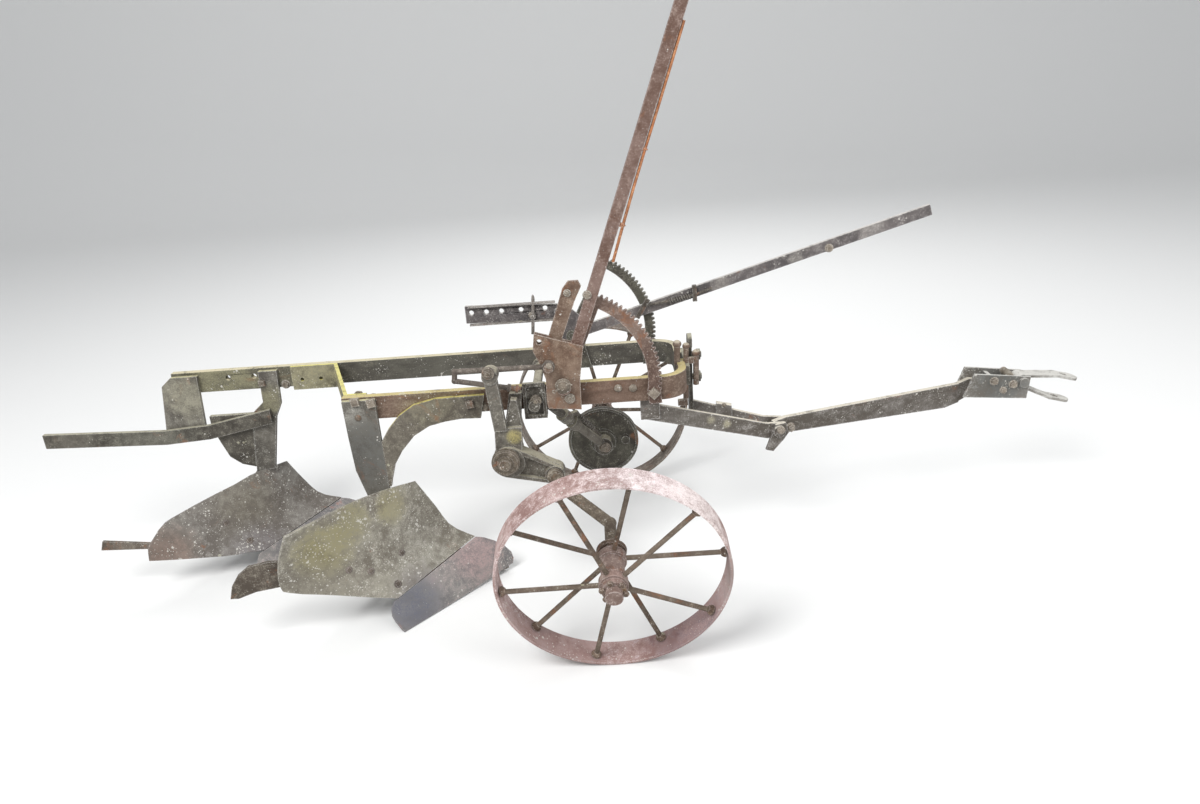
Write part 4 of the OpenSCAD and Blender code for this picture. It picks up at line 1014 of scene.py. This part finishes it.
class PLOUGH_OT_stage(bpy.types.Operator):
    """Pale floor, soft light and the camera"""
    bl_idname = "plough.stage"
    bl_label = "Stage"

    def execute(self, context):
        self.floor(context.scene)
        self.lamps(context.scene)
        self.world(context.scene)
        self.camera(context.scene)
        context.scene.view_settings.view_transform = "Standard"
        return {"FINISHED"}

    def floor(self, scene):
        """A floor that bends up into a backdrop far behind the plough"""
        front, turn, radius, half = -9.0, 7.0, 3.0, 14.0
        drop = -0.0005
        profile = [(front, 0.0), (turn, 0.0)]
        for k in range(1, 13):
            a = math.pi / 2 * k / 12
            profile.append((turn + radius * math.sin(a), radius - radius * math.cos(a)))
        profile.append((turn + radius, 3 * radius))
        bm = bmesh.new()
        rows = [[bm.verts.new((x, y, z + drop)) for x in (-half, half)] for y, z in profile]
        for low, high in zip(rows, rows[1:]):
            bm.faces.new((low[0], low[1], high[1], high[0]))
        mesh = closed_mesh(bm, "studio_floor", 80)
        floor = bpy.data.objects.new("studio_floor", mesh)
        scene.collection.objects.link(floor)
        finish = Finish("plain_floor")
        finish.shade(Base_Color=tuple(scene.plough_colours.floor), Roughness=0.9, Specular_IOR_Level=0.1)
        mesh.materials.append(finish.material)

    def lamps(self, scene):
        for name, place, size, watts in LAMPS:
            data = bpy.data.lights.new(name, "AREA")
            data.shape = "DISK"
            data.size = size
            data.energy = watts
            lamp = bpy.data.objects.new(name, data)
            lamp.location = place
            lamp.rotation_euler = (LAMP_AIM - Vector(place)).to_track_quat("-Z", "Y").to_euler()
            scene.collection.objects.link(lamp)

    def world(self, scene):
        world = bpy.data.worlds.new("studio_world")
        world.use_nodes = True
        scene.world = world
        tree = Tree(world.node_tree)
        soft = tree.add("ShaderNodeBackground", {}, {"Color": (0.95, 0.97, 1.0), "Strength": 0.55})
        seen = tree.add("ShaderNodeBackground", {}, {"Color": (0.93, 0.93, 0.92), "Strength": 1.0})
        camera = tree.add("ShaderNodeLightPath", {}, {}, "Is Camera Ray")
        glossy = tree.add("ShaderNodeLightPath", {}, {}, "Is Glossy Ray")
        through = tree.add("ShaderNodeLightPath", {}, {}, "Is Transmission Ray")
        both = tree.add("ShaderNodeMixShader", {}, {0: camera.most(glossy).most(through), 1: soft, 2: seen})
        tree.add("ShaderNodeOutputWorld", {}, {"Surface": both})

    def camera(self, scene):
        data = bpy.data.cameras.new("photo_camera")
        data.sensor_width = 36.0
        data.sensor_fit = "HORIZONTAL"
        data.lens = FOCAL / PHOTO[0] * data.sensor_width
        data.clip_end = 60
        camera = bpy.data.objects.new("photo_camera", data)
        scene.collection.objects.link(camera)
        right, up, ahead = camera_axes()
        turn = Matrix((right, up, -ahead)).transposed().to_4x4()
        camera.matrix_world = Matrix.Translation(CAMERA_AT) @ turn
        scene.camera = camera


class PLOUGH_PT_panel(bpy.types.Panel):
    """Lists the operators that dress the plough"""
    bl_idname = "PLOUGH_PT_panel"
    bl_label = "Furrow plough"
    bl_space_type = "VIEW_3D"
    bl_region_type = "UI"
    bl_category = "Plough"

    def draw(self, context):
        layout = self.layout
        for group in (context.scene.plough_sizes, context.scene.plough_colours):
            for key in group.__annotations__:
                layout.prop(group, key)
        for step in STEPS:
            layout.operator(step.bl_idname)


STEPS = (PLOUGH_OT_stage, PLOUGH_OT_frame_finishes, PLOUGH_OT_body_finishes, PLOUGH_OT_crank_finishes,
         PLOUGH_OT_wheel_finishes, PLOUGH_OT_lever_finishes, PLOUGH_OT_bolts, PLOUGH_OT_bosses,
         PLOUGH_OT_latches, PLOUGH_OT_link_channel, PLOUGH_OT_clamp_rods, PLOUGH_OT_wheel_fittings, PLOUGH_OT_hitch_fittings)
CLASSES = (PloughSizes, PloughColours) + STEPS + (PLOUGH_PT_panel,)


def register():
    for cls in CLASSES:
        bpy.utils.register_class(cls)
    bpy.types.Scene.plough_sizes = PointerProperty(type=PloughSizes)
    bpy.types.Scene.plough_colours = PointerProperty(type=PloughColours)


def unregister():
    del bpy.types.Scene.plough_sizes
    del bpy.types.Scene.plough_colours
    for cls in reversed(CLASSES):
        bpy.utils.unregister_class(cls)


def main():
    register()
    for step in STEPS:
        group, name = step.bl_idname.split(".")
        getattr(getattr(bpy.ops, group), name)()


if __name__ == "__main__":
    main()
